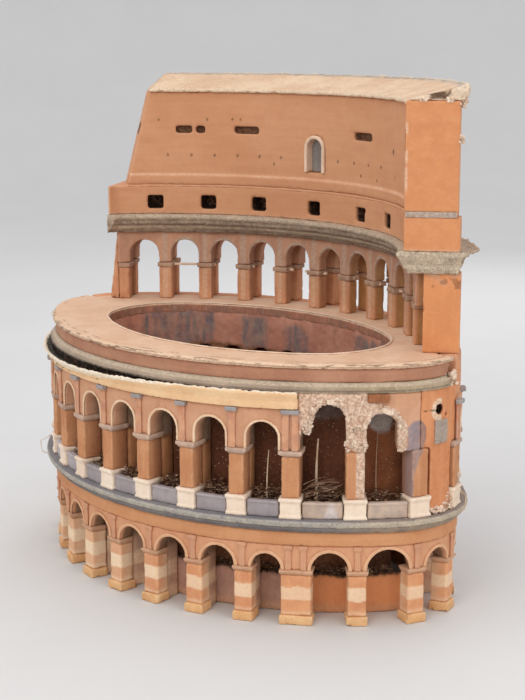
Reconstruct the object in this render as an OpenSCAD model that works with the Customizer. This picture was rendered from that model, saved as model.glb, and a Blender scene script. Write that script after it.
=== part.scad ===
// Miniature of an ancient oval amphitheatre, cast in cement and painted.
// Origin: centre of the oval, on the ground. +X runs along the oval, +Z is up.
// The low arcades and the deck are on the -Y side; the tall wall stands round the +Y side.

/* [Oval plan] */
// Half length of the oval at the faces of the ground plinths
half_len = 500; // [490:5:510]
// Half width of the oval at the faces of the ground plinths
half_wid = 320; // [312:2:328]
// Half angle of each small end arc, in degrees
end_deg = 38; // [36:1:40]
// Half length of the arena opening
pit_len = 330; // [320:2:332]
// Half width of the arena opening
pit_wid = 203; // [180:1:203]
// Half angle of the arena's end arcs, in degrees
pit_deg = 55; // [50:1:56]

/* [Bays] */
// Plain bays on the low front
front_bays = 10; // [8:1:10]
// Width of a plain front bay, measured along the oval
front_pitch = 101; // [100:0.5:101]
// Bays on the tall back wall
back_bays = 11; // [11:1:11]
// Width of a back bay
back_pitch = 102.7; // [100:0.1:103]
// Width of each ruined bay
ruin_pitch = 113; // [106:1:116]
// Distance of the last front pier from the right-hand tip
tip_gap = 56; // [50:1:60]
// Half width of a ground pier
pier_half = 17; // [15:0.5:19]
// Depth of the arcade walls
wall_depth = 36; // [30:1:40]
// Open joint between neighbouring castings
joint = 0.6; // [0.4:0.1:1]

/* [Levels] */
// Top of the ground plinths
plinth_top = 17; // [14:1:20]
// Underside of the ground imposts
impost_z = 95; // [90:1:98]
// Springing of the ground arches
spring_z = 105; // [102:1:106]
// Underside of the frieze ring
frieze_z = 152; // [150:1:156]
// Underside of the grey ledge
ledge_z = 180; // [176:1:184]
// Top of the ledge and floor of the second storey
floor_z = 204; // [202:1:206]
// Top of the pedestals
pedestal_top = 242; // [238:1:246]
// Underside of the upper imposts
upper_impost_z = 319; // [316:1:326]
// Underside of the upper arch blocks
upper_block_z = 330; // [328:1:336]
// Springing of the upper arches
upper_spring_z = 352; // [350:1:358]
// Top of the upper arch blocks
upper_top = 407; // [404:1:410]
// Underside of the grey base moulding
moulding_z = 437; // [434:1:440]
// Underside of the attic band
band_z = 455; // [452:1:458]
// Underside of the coping
coping_z = 480; // [478:1:482]
// Top of the deck
deck_z = 489; // [488:0.5:490]

/* [Tall wall] */
// Underside of the third arcade's imposts
third_impost_z = 558; // [552:1:562]
// Underside of the third arcade's arch blocks
third_block_z = 568; // [565:1:572]
// Springing of the third arcade's arches
third_spring_z = 588; // [584:1:592]
// Underside of the tall cornice
cornice_z = 637; // [634:1:640]
// Top of the tall cornice
attic_z = 677; // [674:1:680]
// Mortar bed between the two attic courses
bed_z = 738; // [734:1:742]
// Underside of the sloped coping, at its inner edge
wall_top = 936; // [920:2:950]
// Highest edge of the sloped coping
summit_z = 975; // [965:1:980]
// Set-back of the tall wall's outer face
outer_face = 10; // [8:1:14]
// Distance of the attic's inner face from the oval
attic_inner = 107; // [104:1:110]
// Distance of the third arcade's inner face from the oval
arcade_inner = 88; // [84:1:92]
// Thickness of each leaf of the third arcade
leaf = 26; // [22:1:30]
// Straight length of the end block at the right-hand cut
end_block = 48; // [40:1:52]

/* [Hidden] */
$fn = 200;
DEG = 180 / PI;

// An oval is [end centre, side centre, end radius, side radius, half end arc, half perimeter]
function oval(a, b, t) =
    let (arm = (a - b) / (cos(t) + sin(t) - 1),
         r = a - arm * cos(t),
         half_end = r * t / DEG)
    [arm * cos(t), arm * sin(t), r, r + arm, half_end,
     2 * (half_end + (r + arm) * (90 - t) / DEG)];
MAIN = oval(half_len, half_wid, end_deg);
PIT = oval(pit_len, pit_wid, pit_deg);
// The arena lies a little off the oval's centre
pit_shift = [20, -22, 0];
pit_wall = 8;

// Distance s is measured anticlockwise along the oval from its +X tip
function lap(o, s) = floor((s + o[4]) / o[5]);
function rest(o, s) = s - lap(o, s) * o[5];
function on_end(o, s) = rest(o, s) < o[4];
function radius(o, s) = on_end(o, s) ? o[2] : o[3];
function turn(o, s) = on_end(o, s) ? rest(o, s) / o[2] * DEG : 90 + (rest(o, s) - o[5] / 2) / o[3] * DEG;
function edge(o, n) = floor(n / 2) * o[5] + (n % 2 == 0 ? -o[4] : o[4]);

// Places children on the oval: +X outward, +Y along the oval, the origin on its line
module at(o, s) {
    rotate(180 * lap(o, s))
        translate(on_end(o, s) ? [o[0], 0, 0] : [0, -o[1], 0])
            rotate(turn(o, s))
                translate([radius(o, s), 0, 0])
                    children();
}

// Sweeps a profile (x outward from the oval, y up) from s1 to s2, one solid per arc of the oval
module sweep(o, s1, s2) {
    for (n = [-4:5]) {
        lo = max(s1, edge(o, n)) + joint / 2;
        hi = min(s2, edge(o, n + 1)) - joint / 2;
        mid = (lo + hi) / 2;
        if (hi - lo > 2)
            rotate(180 * lap(o, mid))
                translate(on_end(o, mid) ? [o[0], 0, 0] : [0, -o[1], 0])
                    rotate(turn(o, mid) - (mid - lo) / radius(o, mid) * DEG)
                        rotate_extrude(angle = (hi - lo) / radius(o, mid) * DEG)
                            translate([radius(o, mid), 0])
                                children();
    }
}

// A plain rectangular profile
module slab(x1, x2, z1, z2) {
    translate([x1, z1])
        square([x2 - x1, z2 - z1]);
}

// A box from three pairs of limits
module block(x, y, z) {
    translate([x[0], y[0], z[0]])
        cube([x[1] - x[0], y[1] - y[0], z[1] - z[0]]);
}

// Pier positions along the oval, anticlockwise, ending where they began
ruin_start = -(tip_gap + 2 * ruin_pitch);
back_start = 46.8;
first_pier = ruin_start - front_bays * front_pitch;
PIERS = concat([for (k = [front_bays:-1:0]) ruin_start - k * front_pitch],
               [ruin_start + ruin_pitch, -tip_gap],
               [for (k = [0:back_bays]) back_start + k * back_pitch],
               [first_pier + 2 * MAIN[5]]);
N = len(PIERS) - 1;
twin = front_bays;
ruin_1 = front_bays;
ruin_2 = front_bays + 1;
drain_bay = front_bays + 2;
first_back = front_bays + 3;

// Half width of the pier on line i in the ground storey: the twin pier is wider
function half_of(i) = (i % N) == twin ? 1.65 * pier_half : pier_half;
function bay_lo(i) = PIERS[i] + half_of(i);
function bay_hi(i) = PIERS[i + 1] - half_of(i + 1);
function bay_mid(i) = (bay_lo(i) + bay_hi(i)) / 2;
// Openings close up a little where the wall curves tightly
function bay_half(i) = (bay_hi(i) - bay_lo(i)) / 2 - (on_end(MAIN, bay_mid(i)) ? 5 : 0);
function on_side(i) = !on_end(MAIN, PIERS[i]);

// A radial tunnel with a round head, from depth x1 out to x2
module tunnel(half, spring, low, x1, x2) {
    block([x1, x2], [-half, half], [low, spring]);
    translate([x1, 0, spring])
        rotate([0, 90, 0])
            cylinder(r = half, h = x2 - x1);
}

// A flat arch band with straight legs, standing on the face at x1
module arch_band(half, band, spring, low, x1, x2) {
    difference() {
        tunnel(half + band, spring, low, x1, x2);
        tunnel(half, spring, low - 1, x1 - 1, x2 + 1);
    }
}

// ---- ground storey ----
wall_face = -4;
back_depth = 70;
back_leaf = 9;
// The wall closing the ground bays stops short of the arches
back_top = 78;

module arena_floor() {
    color("saddlebrown")
        translate(pit_shift)
            linear_extrude(12)
                oval_outline(PIT, pit_wall);
}

// Closed outline of an oval, grown by off
module oval_outline(o, off) {
    steps = 160;
    polygon([for (k = [0:steps - 1])
        let (s = k * 2 * o[5] / steps,
             a = turn(o, s),
             flip = lap(o, s) % 2 == 0 ? 1 : -1,
             c = on_end(o, s) ? [o[0], 0] : [0, -o[1]])
        flip * (c + (radius(o, s) + off) * [cos(a), sin(a)])]);
}

module ground_plinths() {
    color("burlywood")
        for (i = [0:N - 1])
            at(MAIN, PIERS[i])
                block([-wall_depth - 2, 0], [-half_of(i) - 3, half_of(i) + 3], [0, plinth_top]);
}

module ground_piers() {
    color("peru")
        for (i = [0:N - 1])
            at(MAIN, PIERS[i])
                block([-wall_depth, wall_face], [-half_of(i), half_of(i)], [plinth_top, impost_z]);
}

module ground_radial_walls() {
    color("rosybrown")
        for (i = [0:N - 1])
            if (on_side(i))
                at(MAIN, PIERS[i])
                    block([-back_depth, -wall_depth - 2.5], [-13, 13], [0, frieze_z]);
}

module ground_imposts() {
    color("dimgray")
        for (i = [0:N - 1])
            at(MAIN, PIERS[i]) {
                block([-wall_depth, wall_face + 2], [-half_of(i) - 1.5, half_of(i) + 1.5],
                      [impost_z, impost_z + 5]);
                block([-wall_depth, wall_face + 5], [-half_of(i) - 3.5, half_of(i) + 3.5],
                      [impost_z + 5, spring_z]);
            }
}

module ground_arch_blocks() {
    color("chocolate")
        for (i = [0:N - 1])
            difference() {
                sweep(MAIN, PIERS[i], PIERS[i + 1])
                    slab(-wall_depth, wall_face, spring_z, frieze_z);
                at(MAIN, bay_mid(i))
                    translate([-wall_depth - 30, 0, spring_z])
                        rotate([0, 90, 0])
                            cylinder(r = bay_half(i), h = wall_depth + 60);
            }
}

module ground_archivolts() {
    color("bisque")
        for (i = [0:N - 1])
            difference() {
                intersection() {
                    at(MAIN, bay_mid(i))
                        translate([-20, 0, spring_z])
                            rotate([0, 90, 0])
                                cylinder(r = bay_half(i) + 7, h = 40);
                    sweep(MAIN, PIERS[i], PIERS[i + 1])
                        slab(wall_face, wall_face + 2.5, spring_z, frieze_z - 1);
                }
                at(MAIN, bay_mid(i))
                    translate([-30, 0, spring_z])
                        rotate([0, 90, 0])
                            cylinder(r = bay_half(i) + 0.2, h = 60);
            }
}

module ground_pilasters() {
    color("sandybrown")
        for (i = [0:N - 1])
            at(MAIN, PIERS[i])
                for (y = (i == twin) ? [-14, 14] : [0]) {
                    block([wall_face + 0.4, wall_face + 4.5], [y - 5.5, y + 5.5], [spring_z, frieze_z - 7]);
                    block([wall_face + 0.4, wall_face + 6.5], [y - 8, y + 8], [frieze_z - 7, frieze_z]);
                }
}

module ground_back_wall() {
    color("thistle")
        for (i = [0:N - 1])
            sweep(MAIN, PIERS[i], PIERS[i + 1])
                slab(-back_depth - back_leaf, -back_depth, 0, back_top);
}

// ---- ledge and floor of the second storey ----
module gallery_floor() {
    color("gray")
        for (i = [0:N - 1])
            sweep(MAIN, PIERS[i], PIERS[i + 1])
                slab(-back_depth - back_leaf, -wall_depth, frieze_z, floor_z);
}

module frieze_ring() {
    color("coral")
        for (i = [0:N - 1])
            sweep(MAIN, PIERS[i], PIERS[i + 1])
                slab(-wall_depth, 0, frieze_z, ledge_z);
}

module ledge_bed_moulding() {
    color("slategray")
        for (i = [0:N - 1])
            sweep(MAIN, PIERS[i], PIERS[i + 1])
                polygon([[-wall_depth, ledge_z], [6, ledge_z], [7, ledge_z + 3], [12, ledge_z + 7],
                         [13, ledge_z + 12], [-wall_depth, ledge_z + 12]]);
}

module ledge_lip() {
    color("silver")
        for (i = [0:N - 1])
            sweep(MAIN, PIERS[i], PIERS[i + 1])
                polygon([[-wall_depth, ledge_z + 12], [15, ledge_z + 12], [18, ledge_z + 15],
                         [19, floor_z - 3], [17, floor_z], [-wall_depth, floor_z]]);
}

// ---- second storey ----
upper_half = 14;
upper_face = 2;
// Along the front the piers stand a little to the left of those below them
function upper_shift(i) = (i % N) <= twin ? -10 : (i % N) == ruin_2 ? -6 : 0;
UPPER = [for (i = [0:N]) PIERS[i] + upper_shift(i)];
// Half width of an upper pier and of its pedestal
function upper_half_of(i) = (i % N) == twin ? 16 : worn(i % N) ? 17 : upper_half;
function pedestal_half(i) = max(upper_half_of(i) + 3, 18);
function upper_lo(i) = UPPER[i] + upper_half_of(i);
function upper_hi(i) = UPPER[i + 1] - upper_half_of(i + 1);
function upper_mid(i) = (upper_lo(i) + upper_hi(i)) / 2;
// The arches spring from the imposts, a little inside the piers
function narrowing(i) = i == ruin_1 ? 1 : 6;
function upper_bay(i) = (upper_hi(i) - upper_lo(i)) / 2 - narrowing(i);
// The two ruined bays broke open upwards, towards each other; the drain bay is walled up
function breach_mid(i) = upper_mid(i) + (i == ruin_1 ? 12 : -12.5);
function breach_half(i) = i == ruin_1 ? 30 : 29;
function breach_spring(i) = i == ruin_1 ? 388 : 373;
function upper_roof(i) = (i == ruin_1 || i == ruin_2) ? moulding_z : upper_top;

module pedestals() {
    color("antiquewhite")
        for (i = [0:N - 1])
            at(MAIN, UPPER[i]) {
                half = pedestal_half(i);
                block([-32, 8], [-half - 1.5, half + 1.5], [floor_z, floor_z + 5]);
                block([-32, 6], [-half, half], [floor_z + 5, pedestal_top - 6]);
                block([-32, 9], [-half - 2, half + 2], [pedestal_top - 6, pedestal_top]);
            }
}

module parapet_panels() {
    color("darkgray")
        for (i = [0:N - 1])
            if (i != drain_bay)
                sweep(MAIN, UPPER[i] + pedestal_half(i) + 2.2, UPPER[i + 1] - pedestal_half(i + 1) - 2.2)
                    polygon([[-9, floor_z], [1, floor_z], [1, pedestal_top - 12], [3, pedestal_top - 11],
                             [3, pedestal_top - 7], [-11, pedestal_top - 7], [-11, pedestal_top - 11],
                             [-9, pedestal_top - 12]]);
}

// Two piers of the ruined bays have lost their imposts and run straight up
function worn(i) = i == ruin_2 || i == drain_bay;

module upper_piers() {
    color("darksalmon")
        for (i = [0:N - 1])
            at(MAIN, UPPER[i]) {
                half = upper_half_of(i);
                top = worn(i) ? upper_block_z : upper_impost_z;
                block([-wall_depth, upper_face], [-half, half], [pedestal_top, top]);
                // A flat pilaster on the left part of the shaft
                block([0, upper_face + 2.2], [-half, half * 0.2], [pedestal_top, top]);
            }
}

module upper_radial_walls() {
    color("tan")
        for (i = [0:N - 1])
            if (on_side(i))
                at(MAIN, UPPER[i])
                    block([-back_depth, -wall_depth - 0.5], [-13, 13], [floor_z, upper_top]);
}

module upper_imposts() {
    color("gray")
        for (i = [0:N - 1])
            if (!worn(i))
                at(MAIN, UPPER[i]) {
                    half = upper_half_of(i);
                    block([-wall_depth, upper_face + 3.2], [-half - 3, half + 3],
                          [upper_impost_z, upper_impost_z + 4]);
                    block([-wall_depth, upper_face + 6], [-half - 6, half + 6],
                          [upper_impost_z + 4, upper_block_z]);
                }
}

module upper_arch_blocks() {
    color("darksalmon")
        for (i = [0:N - 1])
            if (i != drain_bay)
                difference() {
                    sweep(MAIN, UPPER[i], UPPER[i + 1])
                        slab(-wall_depth, upper_face, upper_block_z, upper_roof(i));
                    if (i != ruin_2)
                        at(MAIN, upper_mid(i))
                            tunnel(upper_bay(i), upper_spring_z, upper_block_z - 5, -wall_depth - 30, 30);
                    if (i == ruin_1 || i == ruin_2)
                        at(MAIN, breach_mid(i))
                            tunnel(breach_half(i), breach_spring(i), upper_block_z - 5, -wall_depth - 30, 30);
                }
}

module upper_archivolts() {
    color("wheat")
        for (i = [0:N - 1])
            if (i < ruin_1 || i > drain_bay)
                intersection() {
                    at(MAIN, upper_mid(i))
                        arch_band(upper_bay(i), 5, upper_spring_z, upper_block_z - 0.5, -20, 20);
                    sweep(MAIN, UPPER[i], UPPER[i + 1])
                        slab(upper_face, upper_face + 3, upper_block_z, upper_top - 2);
                }
}

module upper_pilasters() {
    color("lightgray")
        for (i = [0:N - 1])
            if (!worn(i))
                at(MAIN, UPPER[i])
                    for (y = (i == twin) ? [-8.5, 8.5] : (i < twin) ? [-7] : [0]) {
                        half = (i == twin) ? 6 : 7;
                        lip = (i == twin) ? 1.8 : 3.5;
                        block([upper_face + 0.4, upper_face + 5], [y - half, y + half],
                              [upper_block_z, upper_top - 8]);
                        block([upper_face + 0.4, upper_face + 12], [y - half - lip, y + half + lip],
                              [upper_top - 8, upper_top]);
                    }
}

module gallery_back_wall() {
    color("sienna")
        for (i = [0:N - 1])
            sweep(MAIN, PIERS[i], PIERS[i + 1])
                slab(-back_depth - back_leaf, -back_depth, floor_z, band_z + 13);
}

module entablature_core() {
    color("darksalmon")
        for (i = [0:N - 1]) {
            back = i >= first_back;
            ruined = i == ruin_1 || i == ruin_2 || i == drain_bay;
            if (!ruined)
                sweep(MAIN, UPPER[i], UPPER[i + 1])
                    slab(-wall_depth, 0, upper_top, back ? deck_z : moulding_z);
        }
}

module yellow_cornice() {
    color("khaki")
        for (i = [0:front_bays - 1])
            sweep(MAIN, UPPER[i], UPPER[i + 1] + (i == front_bays - 1 ? 14 : 0))
                polygon([[0.4, upper_top + 1], [12, upper_top + 1], [13, upper_top + 8], [14, upper_top + 16],
                         [18, upper_top + 24], [20, upper_top + 28], [20, upper_top + 34],
                         [16, upper_top + 35], [12, upper_top + 28], [0.4, upper_top + 26]]);
}

// ---- ruined bays and drain section ----
stones = 9;
module ruin_masonry() {
    color("beige")
        for (i = [ruin_1, ruin_2])
            at(MAIN, breach_mid(i))
                for (k = [0:stones - 1]) {
                    sweep_deg = 180 / stones;
                    start = k * sweep_deg;
                    outer = breach_half(i) + 8 + 3 * sin(137 * k + 60 * i);
                    translate([upper_face + 0.4, 0, breach_spring(i)])
                        rotate([90, 0, 90])
                            rotate([0, 0, start])
                                stone(breach_half(i), outer, sweep_deg - 0.8, 6 + 3 * cos(101 * k));
                }
}

// One wedge stone of a ruined arch
module stone(r1, r2, deg, thick) {
    linear_extrude(thick)
        polygon([[r1 * cos(deg), r1 * sin(deg)], [r1, 0], [r2, 0], [r2 * cos(deg), r2 * sin(deg)]]);
}

module ruin_lintel() {
    color("orangered")
        at(MAIN, bay_mid(ruin_2))
            block([upper_face + 0.4, upper_face + 8], [-44, -6], [upper_top + 15, moulding_z - 1]);
}

drain_s = -12;
module drain_panel() {
    color("salmon")
        difference() {
            sweep(MAIN, PIERS[drain_bay], PIERS[drain_bay + 1])
                slab(-wall_depth, 0.5, floor_z, moulding_z);
            for (i = [drain_bay, drain_bay + 1])
                at(MAIN, PIERS[i])
                    block([-wall_depth - 5, 30], [-pedestal_half(i) - 3, pedestal_half(i) + 3],
                          [floor_z - 1, upper_block_z + 0.4]);
            at(MAIN, PIERS[first_back])
                block([upper_face - 2, 30], [-10, 10], [floor_z - 1, upper_top + 0.4]);
            at(MAIN, drain_s) {
                translate([-30, 0, 398])
                    rotate([0, 90, 0])
                        cylinder(r = 10, h = 60);
                translate([-20, 19, 386])
                    rotate([0, 90, 0])
                        cylinder(r = 4, h = 50);
            }
        }
}

module plaster_patch() {
    color("slategray")
        sweep(MAIN, drain_s - 14, drain_s + 18)
            slab(0.7, 5, 336, 379);
}

// ---- attic band, coping and deck ----
low_end = 36;
module attic_run(shift) {
    for (i = [0:drain_bay])
        sweep(MAIN, PIERS[i] + shift, min(low_end, PIERS[i + 1] + shift))
            children();
}

module attic_base_moulding() {
    color("darkgray")
        attic_run(0)
            polygon([[-wall_depth, moulding_z], [6, moulding_z], [6, moulding_z + 4], [3, moulding_z + 6],
                     [0, moulding_z + 11], [-4, moulding_z + 15], [-4, band_z], [-wall_depth, band_z]]);
}

module attic_band_blocks() {
    color("lightcoral")
        for (i = [0:drain_bay], h = [0, 1])
            sweep(MAIN, PIERS[i] + h * (PIERS[i + 1] - PIERS[i]) / 2,
                  min(low_end, PIERS[i] + (h + 1) * (PIERS[i + 1] - PIERS[i]) / 2))
                slab(-wall_depth, -7, band_z, coping_z);
}

module attic_coping() {
    color("blanchedalmond")
        attic_run(0)
            polygon([[-wall_depth, coping_z], [0, coping_z], [0, coping_z + 4], [-3, coping_z + 5],
                     [-3, deck_z], [-wall_depth, deck_z]]);
}

module deck_slab() {
    color("navajowhite")
        translate([0, 0, band_z + 13.3])
            linear_extrude(deck_z - band_z - 13.3)
                difference() {
                    oval_outline(MAIN, -wall_depth - joint);
                    translate(pit_shift)
                        oval_outline(PIT, 0);
                }
}

module opening_rim() {
    color("seashell")
        translate(pit_shift)
            for (k = [0:pit_bays - 1])
                sweep(PIT, k * pit_pitch, (k + 1) * pit_pitch)
                    slab(1, 6, deck_z + 0.1, deck_z + 2.5);
}

// ---- arena ----
pit_bays = 26;
pit_pitch = 2 * PIT[5] / pit_bays;

module arena_wall() {
    color("brown")
        translate(pit_shift)
            for (k = [0:pit_bays - 1]) {
                sweep(PIT, k * pit_pitch, (k + 1) * pit_pitch)
                    slab(0, pit_wall, 12.2, floor_z);
                sweep(PIT, k * pit_pitch, (k + 1) * pit_pitch)
                    slab(0, pit_wall, 412, band_z + 13);
            }
}

module arena_arcade() {
    color("maroon")
        translate(pit_shift)
            for (k = [0:pit_bays - 1])
                difference() {
                    sweep(PIT, k * pit_pitch, (k + 1) * pit_pitch)
                        slab(0, pit_wall, floor_z + 0.2, 411.8);
                    at(PIT, (k + 0.5) * pit_pitch)
                        tunnel(pit_pitch / 2 - 9, 376, floor_z - 1, -30, 50);
                }
}

// ---- third arcade: two leaves on the deck and the back wall ----
cut_s = 34 * MAIN[2] / DEG;
THIRD = concat([for (i = [first_back + 1:N - 2]) PIERS[i]], [1222]);
M = len(THIRD) - 1;
third_half = 14;
// Half opening of a third-arcade bay
third_bay = 30;
leaf_x = [[-arcade_inner, -arcade_inner + leaf], [-outer_face - leaf, -outer_face]];
// The left-hand end of the tall wall is cut square to this direction
left_turn = 122;
left_x = -412;
left_y = 15;
left_leaf_x = [[13, 13 + leaf], [leaf * 2 + 13, leaf * 3 + 13]];
left_pier_y = [-32, -9];

// Frame of the left-hand end: +X through the wall, +Y out along it, past its end
module at_left() {
    translate([left_x, left_y, 0])
        rotate(left_turn)
            children();
}

// Everything beyond the left-hand end, from y outward
module beyond_left(y) {
    at_left()
        block([-60, 260], [y, 300], [0, summit_z + 50]);
}

// The last but one pier stands a little askew, as the wall straightens out
module at_third(i) {
    at(MAIN, THIRD[i])
        translate([-arcade_inner, 0, 0])
            rotate(i == M - 1 ? -9 : 0)
                translate([arcade_inner, 0, 0])
                    children();
}

module third_piers() {
    color("peru")
        for (k = [0, 1]) {
            for (i = [0:M - 1])
                at_third(i)
                    block(leaf_x[k], [-third_half, third_half], [deck_z + 0.1, third_impost_z]);
            at_left()
                block(left_leaf_x[k], left_pier_y, [deck_z + 0.1, third_impost_z]);
        }
}

module third_imposts() {
    color("gray")
        for (k = [0, 1]) {
            for (i = [0:M - 1])
                at_third(i)
                    block(leaf_x[k] + [-3, 3], [-third_half - 3, third_half + 3],
                          [third_impost_z, third_block_z]);
            at_left()
                block(left_leaf_x[k] + [-3, 3], left_pier_y + [-3, 0], [third_impost_z, third_block_z]);
        }
}

module third_arch_blocks() {
    color("chocolate")
        for (x = leaf_x) {
            for (i = [0:M - 2])
                difference() {
                    sweep(MAIN, THIRD[i], THIRD[i + 1])
                        slab(x[0], x[1], third_block_z, cornice_z);
                    at(MAIN, (THIRD[i] + THIRD[i + 1]) / 2)
                        tunnel(third_bay, third_spring_z, third_block_z - 5, -160, 30);
                }
            difference() {
                sweep(MAIN, THIRD[M - 1], THIRD[M] + 60)
                    slab(x[0], x[1], third_block_z, cornice_z);
                beyond_left(left_pier_y[1]);
                at_left()
                    translate([0, -64, 0])
                        tunnel(third_bay, third_spring_z, third_block_z - 5, -60, 200);
            }
            sweep(MAIN, cut_s, THIRD[0])
                slab(x[0], x[1], third_block_z, cornice_z);
        }
}
// What is left of the thin ties across the openings at impost level
module third_link_bars() {
    color("gainsboro")
        for (i = [1:M - 2]) {
            mid = (THIRD[i] + THIRD[i + 1]) / 2;
            stub = (i == M - 2) ? 24.5 : 6 + 5 * sin(97 * i);
            at(MAIN, mid)
                for (side = [-1, 1])
                    translate([-arcade_inner + 8, side * 25.4 - (side > 0 ? stub : 0), third_impost_z + 3])
                        cube([5, stub, 5]);
        }
}

module third_buttress() {
    color("peru")
        at_left()
            translate([left_leaf_x[0][0], left_pier_y[1] + 0.4, deck_z + 0.1])
                rotate([90, 0, 90])
                    linear_extrude(left_leaf_x[1][1] - left_leaf_x[0][0])
                        polygon([[0, 0], [19, 0], [2, cornice_z - deck_z - 0.5], [0, cornice_z - deck_z - 0.5]]);
}

end_column_x = [-70, -3];
module end_column() {
    color("darkorange")
        at(MAIN, cut_s)
            difference() {
                block(end_column_x, [12 - end_block, 0], [deck_z + 0.1, cornice_z]);
                dowel_pair(0.15);
            }
}

// ---- tall cornice and attic ----
// Repeats children over the cells of the tall wall, from the right-hand cut to last_s
module wall_run(last_s = upper_end_s) {
    sweep(MAIN, cut_s, THIRD[0])
        children();
    for (i = [0:M - 2])
        sweep(MAIN, THIRD[i], THIRD[i + 1])
            children();
    sweep(MAIN, THIRD[M - 1], last_s)
        children();
}

// The lower storeys of the tall wall run on to the left-hand end and are cut there, past y
lower_end_s = 1302;
upper_end_s = 1177;
module long_wall_run(y) {
    difference() {
        wall_run(lower_end_s)
            children();
        beyond_left(y);
    }
}

// The straight end block at the right-hand cut
module end_run(length = end_block) {
    at(MAIN, cut_s)
        rotate([90, 0, 0])
            linear_extrude(length)
                children();
}

// The outer lip reaches out by lip; on the end block it is mostly broken off
module cornice_profile(lip) {
    polygon([[-100, cornice_z], [-101, cornice_z + 7], [-107, cornice_z + 9], [-108, cornice_z + 15],
             [-114, cornice_z + 18], [-116, cornice_z + 27], [-120, cornice_z + 30],
             [-120, attic_z - 4], [-112, attic_z], [-6, attic_z], [lip, attic_z - 2],
             [lip, attic_z - 7], [8, cornice_z + 29], [2, cornice_z + 25], [0, cornice_z + 14],
             [-5, cornice_z + 10], [-7, cornice_z]]);
}

module tall_cornice() {
    color("dimgray")
        difference() {
            union() {
                long_wall_run(4)
                    cornice_profile(28);
                end_run()
                    cornice_profile(12);
            }
            at(MAIN, cut_s)
                dowel_pair(0.15);
        }
}

// Places of the square windows along the wall, and their half width
window_s = [330, 470, 645, 815, 955, 1095];
window_half = 17;
window_z = [attic_z + 11, attic_z + 40];
module attic_lower_course() {
    color("sandybrown") {
        difference() {
            long_wall_run(0)
                slab(-attic_inner, -outer_face, attic_z, bed_z);
            for (s = window_s)
                at(MAIN, s) {
                    block([-attic_inner - 5, -attic_inner + 45], [-window_half, window_half], window_z);
                    block([-outer_face - 25, 5], [-window_half, window_half], window_z);
                }
        }
        difference() {
            end_run()
                slab(-attic_inner, -outer_face + 5, attic_z, bed_z);
            at(MAIN, cut_s)
                dowel_pair(0.15);
        }
    }
}

// Thick mortar under the upper end block, and the top of that block
end_bed = 11;
end_top = 946;
module mortar_bed() {
    color("lightslategray") {
        wall_run(1168)
            slab(-attic_inner + 1, -outer_face - 1, bed_z, bed_z + 3);
        end_run()
            slab(-attic_inner + 2, -outer_face - 2, bed_z, bed_z + end_bed);
    }
}

niche_s = 645;
niche_z = [776, 826];
niche_half = 27;
niche_band = 7;
// Each slot is its place along the wall and its half width
slots = [[468, 32], [851, 28], [976, 10], [1019, 18]];
// The wall steps back a little at this height
course_z = 762;
course_step = 3.5;
module attic_upper_wall() {
    color("sandybrown") {
        end_run()
            slab(-attic_inner, -outer_face, bed_z + end_bed, end_top);
        difference() {
            wall_run()
                polygon([[-attic_inner, bed_z + 3], [-outer_face, bed_z + 3], [-outer_face, wall_top],
                         [-attic_inner + course_step, wall_top], [-attic_inner + course_step, course_z],
                         [-attic_inner, course_z - 2]]);
            broken_end();
            for (slot = slots)
                at(MAIN, slot[0])
                    block([-attic_inner - 5, -attic_inner + 20], [-slot[1], slot[1]], [850, 865]);
            for (s = window_s)
                at(MAIN, s)
                    block([-outer_face - 25, 5], [-14, 14], [800, 836]);
            for (s = [380:62:1080])
                if (abs(s - niche_s) > 45)
                    at(MAIN, s)
                        translate([-attic_inner - 5, 0, 803])
                            rotate([0, 90, 0])
                                cylinder(r = 2.2, h = 15);
            at(MAIN, niche_s)
                tunnel(niche_half, niche_z[1], niche_z[0], -attic_inner - 20, -attic_inner + 24);
        }
    }
}

// The broken, sloping left-hand end of the upper wall
module broken_end() {
    at(MAIN, 1155)
        translate([-160, 0, 0])
            rotate([90, 0, 90])
                linear_extrude(220)
                    polygon([[13, bed_z - 8], [-16, 850], [-20, 863], [-25, 884], [-38, wall_top + 2],
                             [-85, summit_z + 3], [-85, summit_z + 20], [90, summit_z + 20],
                             [90, bed_z - 8]]);
}

module niche_frame() {
    color("ivory")
        at(MAIN, niche_s)
            intersection() {
                arch_band(niche_half - niche_band, niche_band, niche_z[1], niche_z[0],
                          -attic_inner - 1, -attic_inner + 24);
                block([-attic_inner - 1, -attic_inner + 23.8], [-niche_half + 0.2, niche_half - 0.2],
                      [niche_z[0], 900]);
            }
}

module niche_back() {
    color("gray")
        at(MAIN, niche_s)
            tunnel(niche_half - niche_band - 0.3, niche_z[1], niche_z[0] + 0.2,
                   -attic_inner + 17, -attic_inner + 23.8);
}

module coping_profile() {
    polygon([[-112, wall_top], [-112, wall_top + 7], [-104, wall_top + 10], [-40, summit_z - 12],
             [-2, summit_z], [4, summit_z - 3], [4, summit_z - 16], [-4, wall_top + 12], [-6, wall_top]]);
}

// On the end block only a thin wedge of coping is left, with a bowl worn into it
module end_coping_profile() {
    polygon([[-104, end_top + 0.4], [-100, end_top + 3], [-40, summit_z - 12], [-2, summit_z],
             [4, summit_z - 3], [4, summit_z - 16], [-4, end_top + 2], [-6, end_top + 0.4]]);
}

module wall_coping() {
    color("moccasin") {
        difference() {
            wall_run()
                coping_profile();
            broken_end();
        }
        difference() {
            end_run()
                end_coping_profile();
            at(MAIN, cut_s)
                translate([-48, -34, end_top + 26])
                    sphere(r = 24);
        }
    }
}

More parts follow.
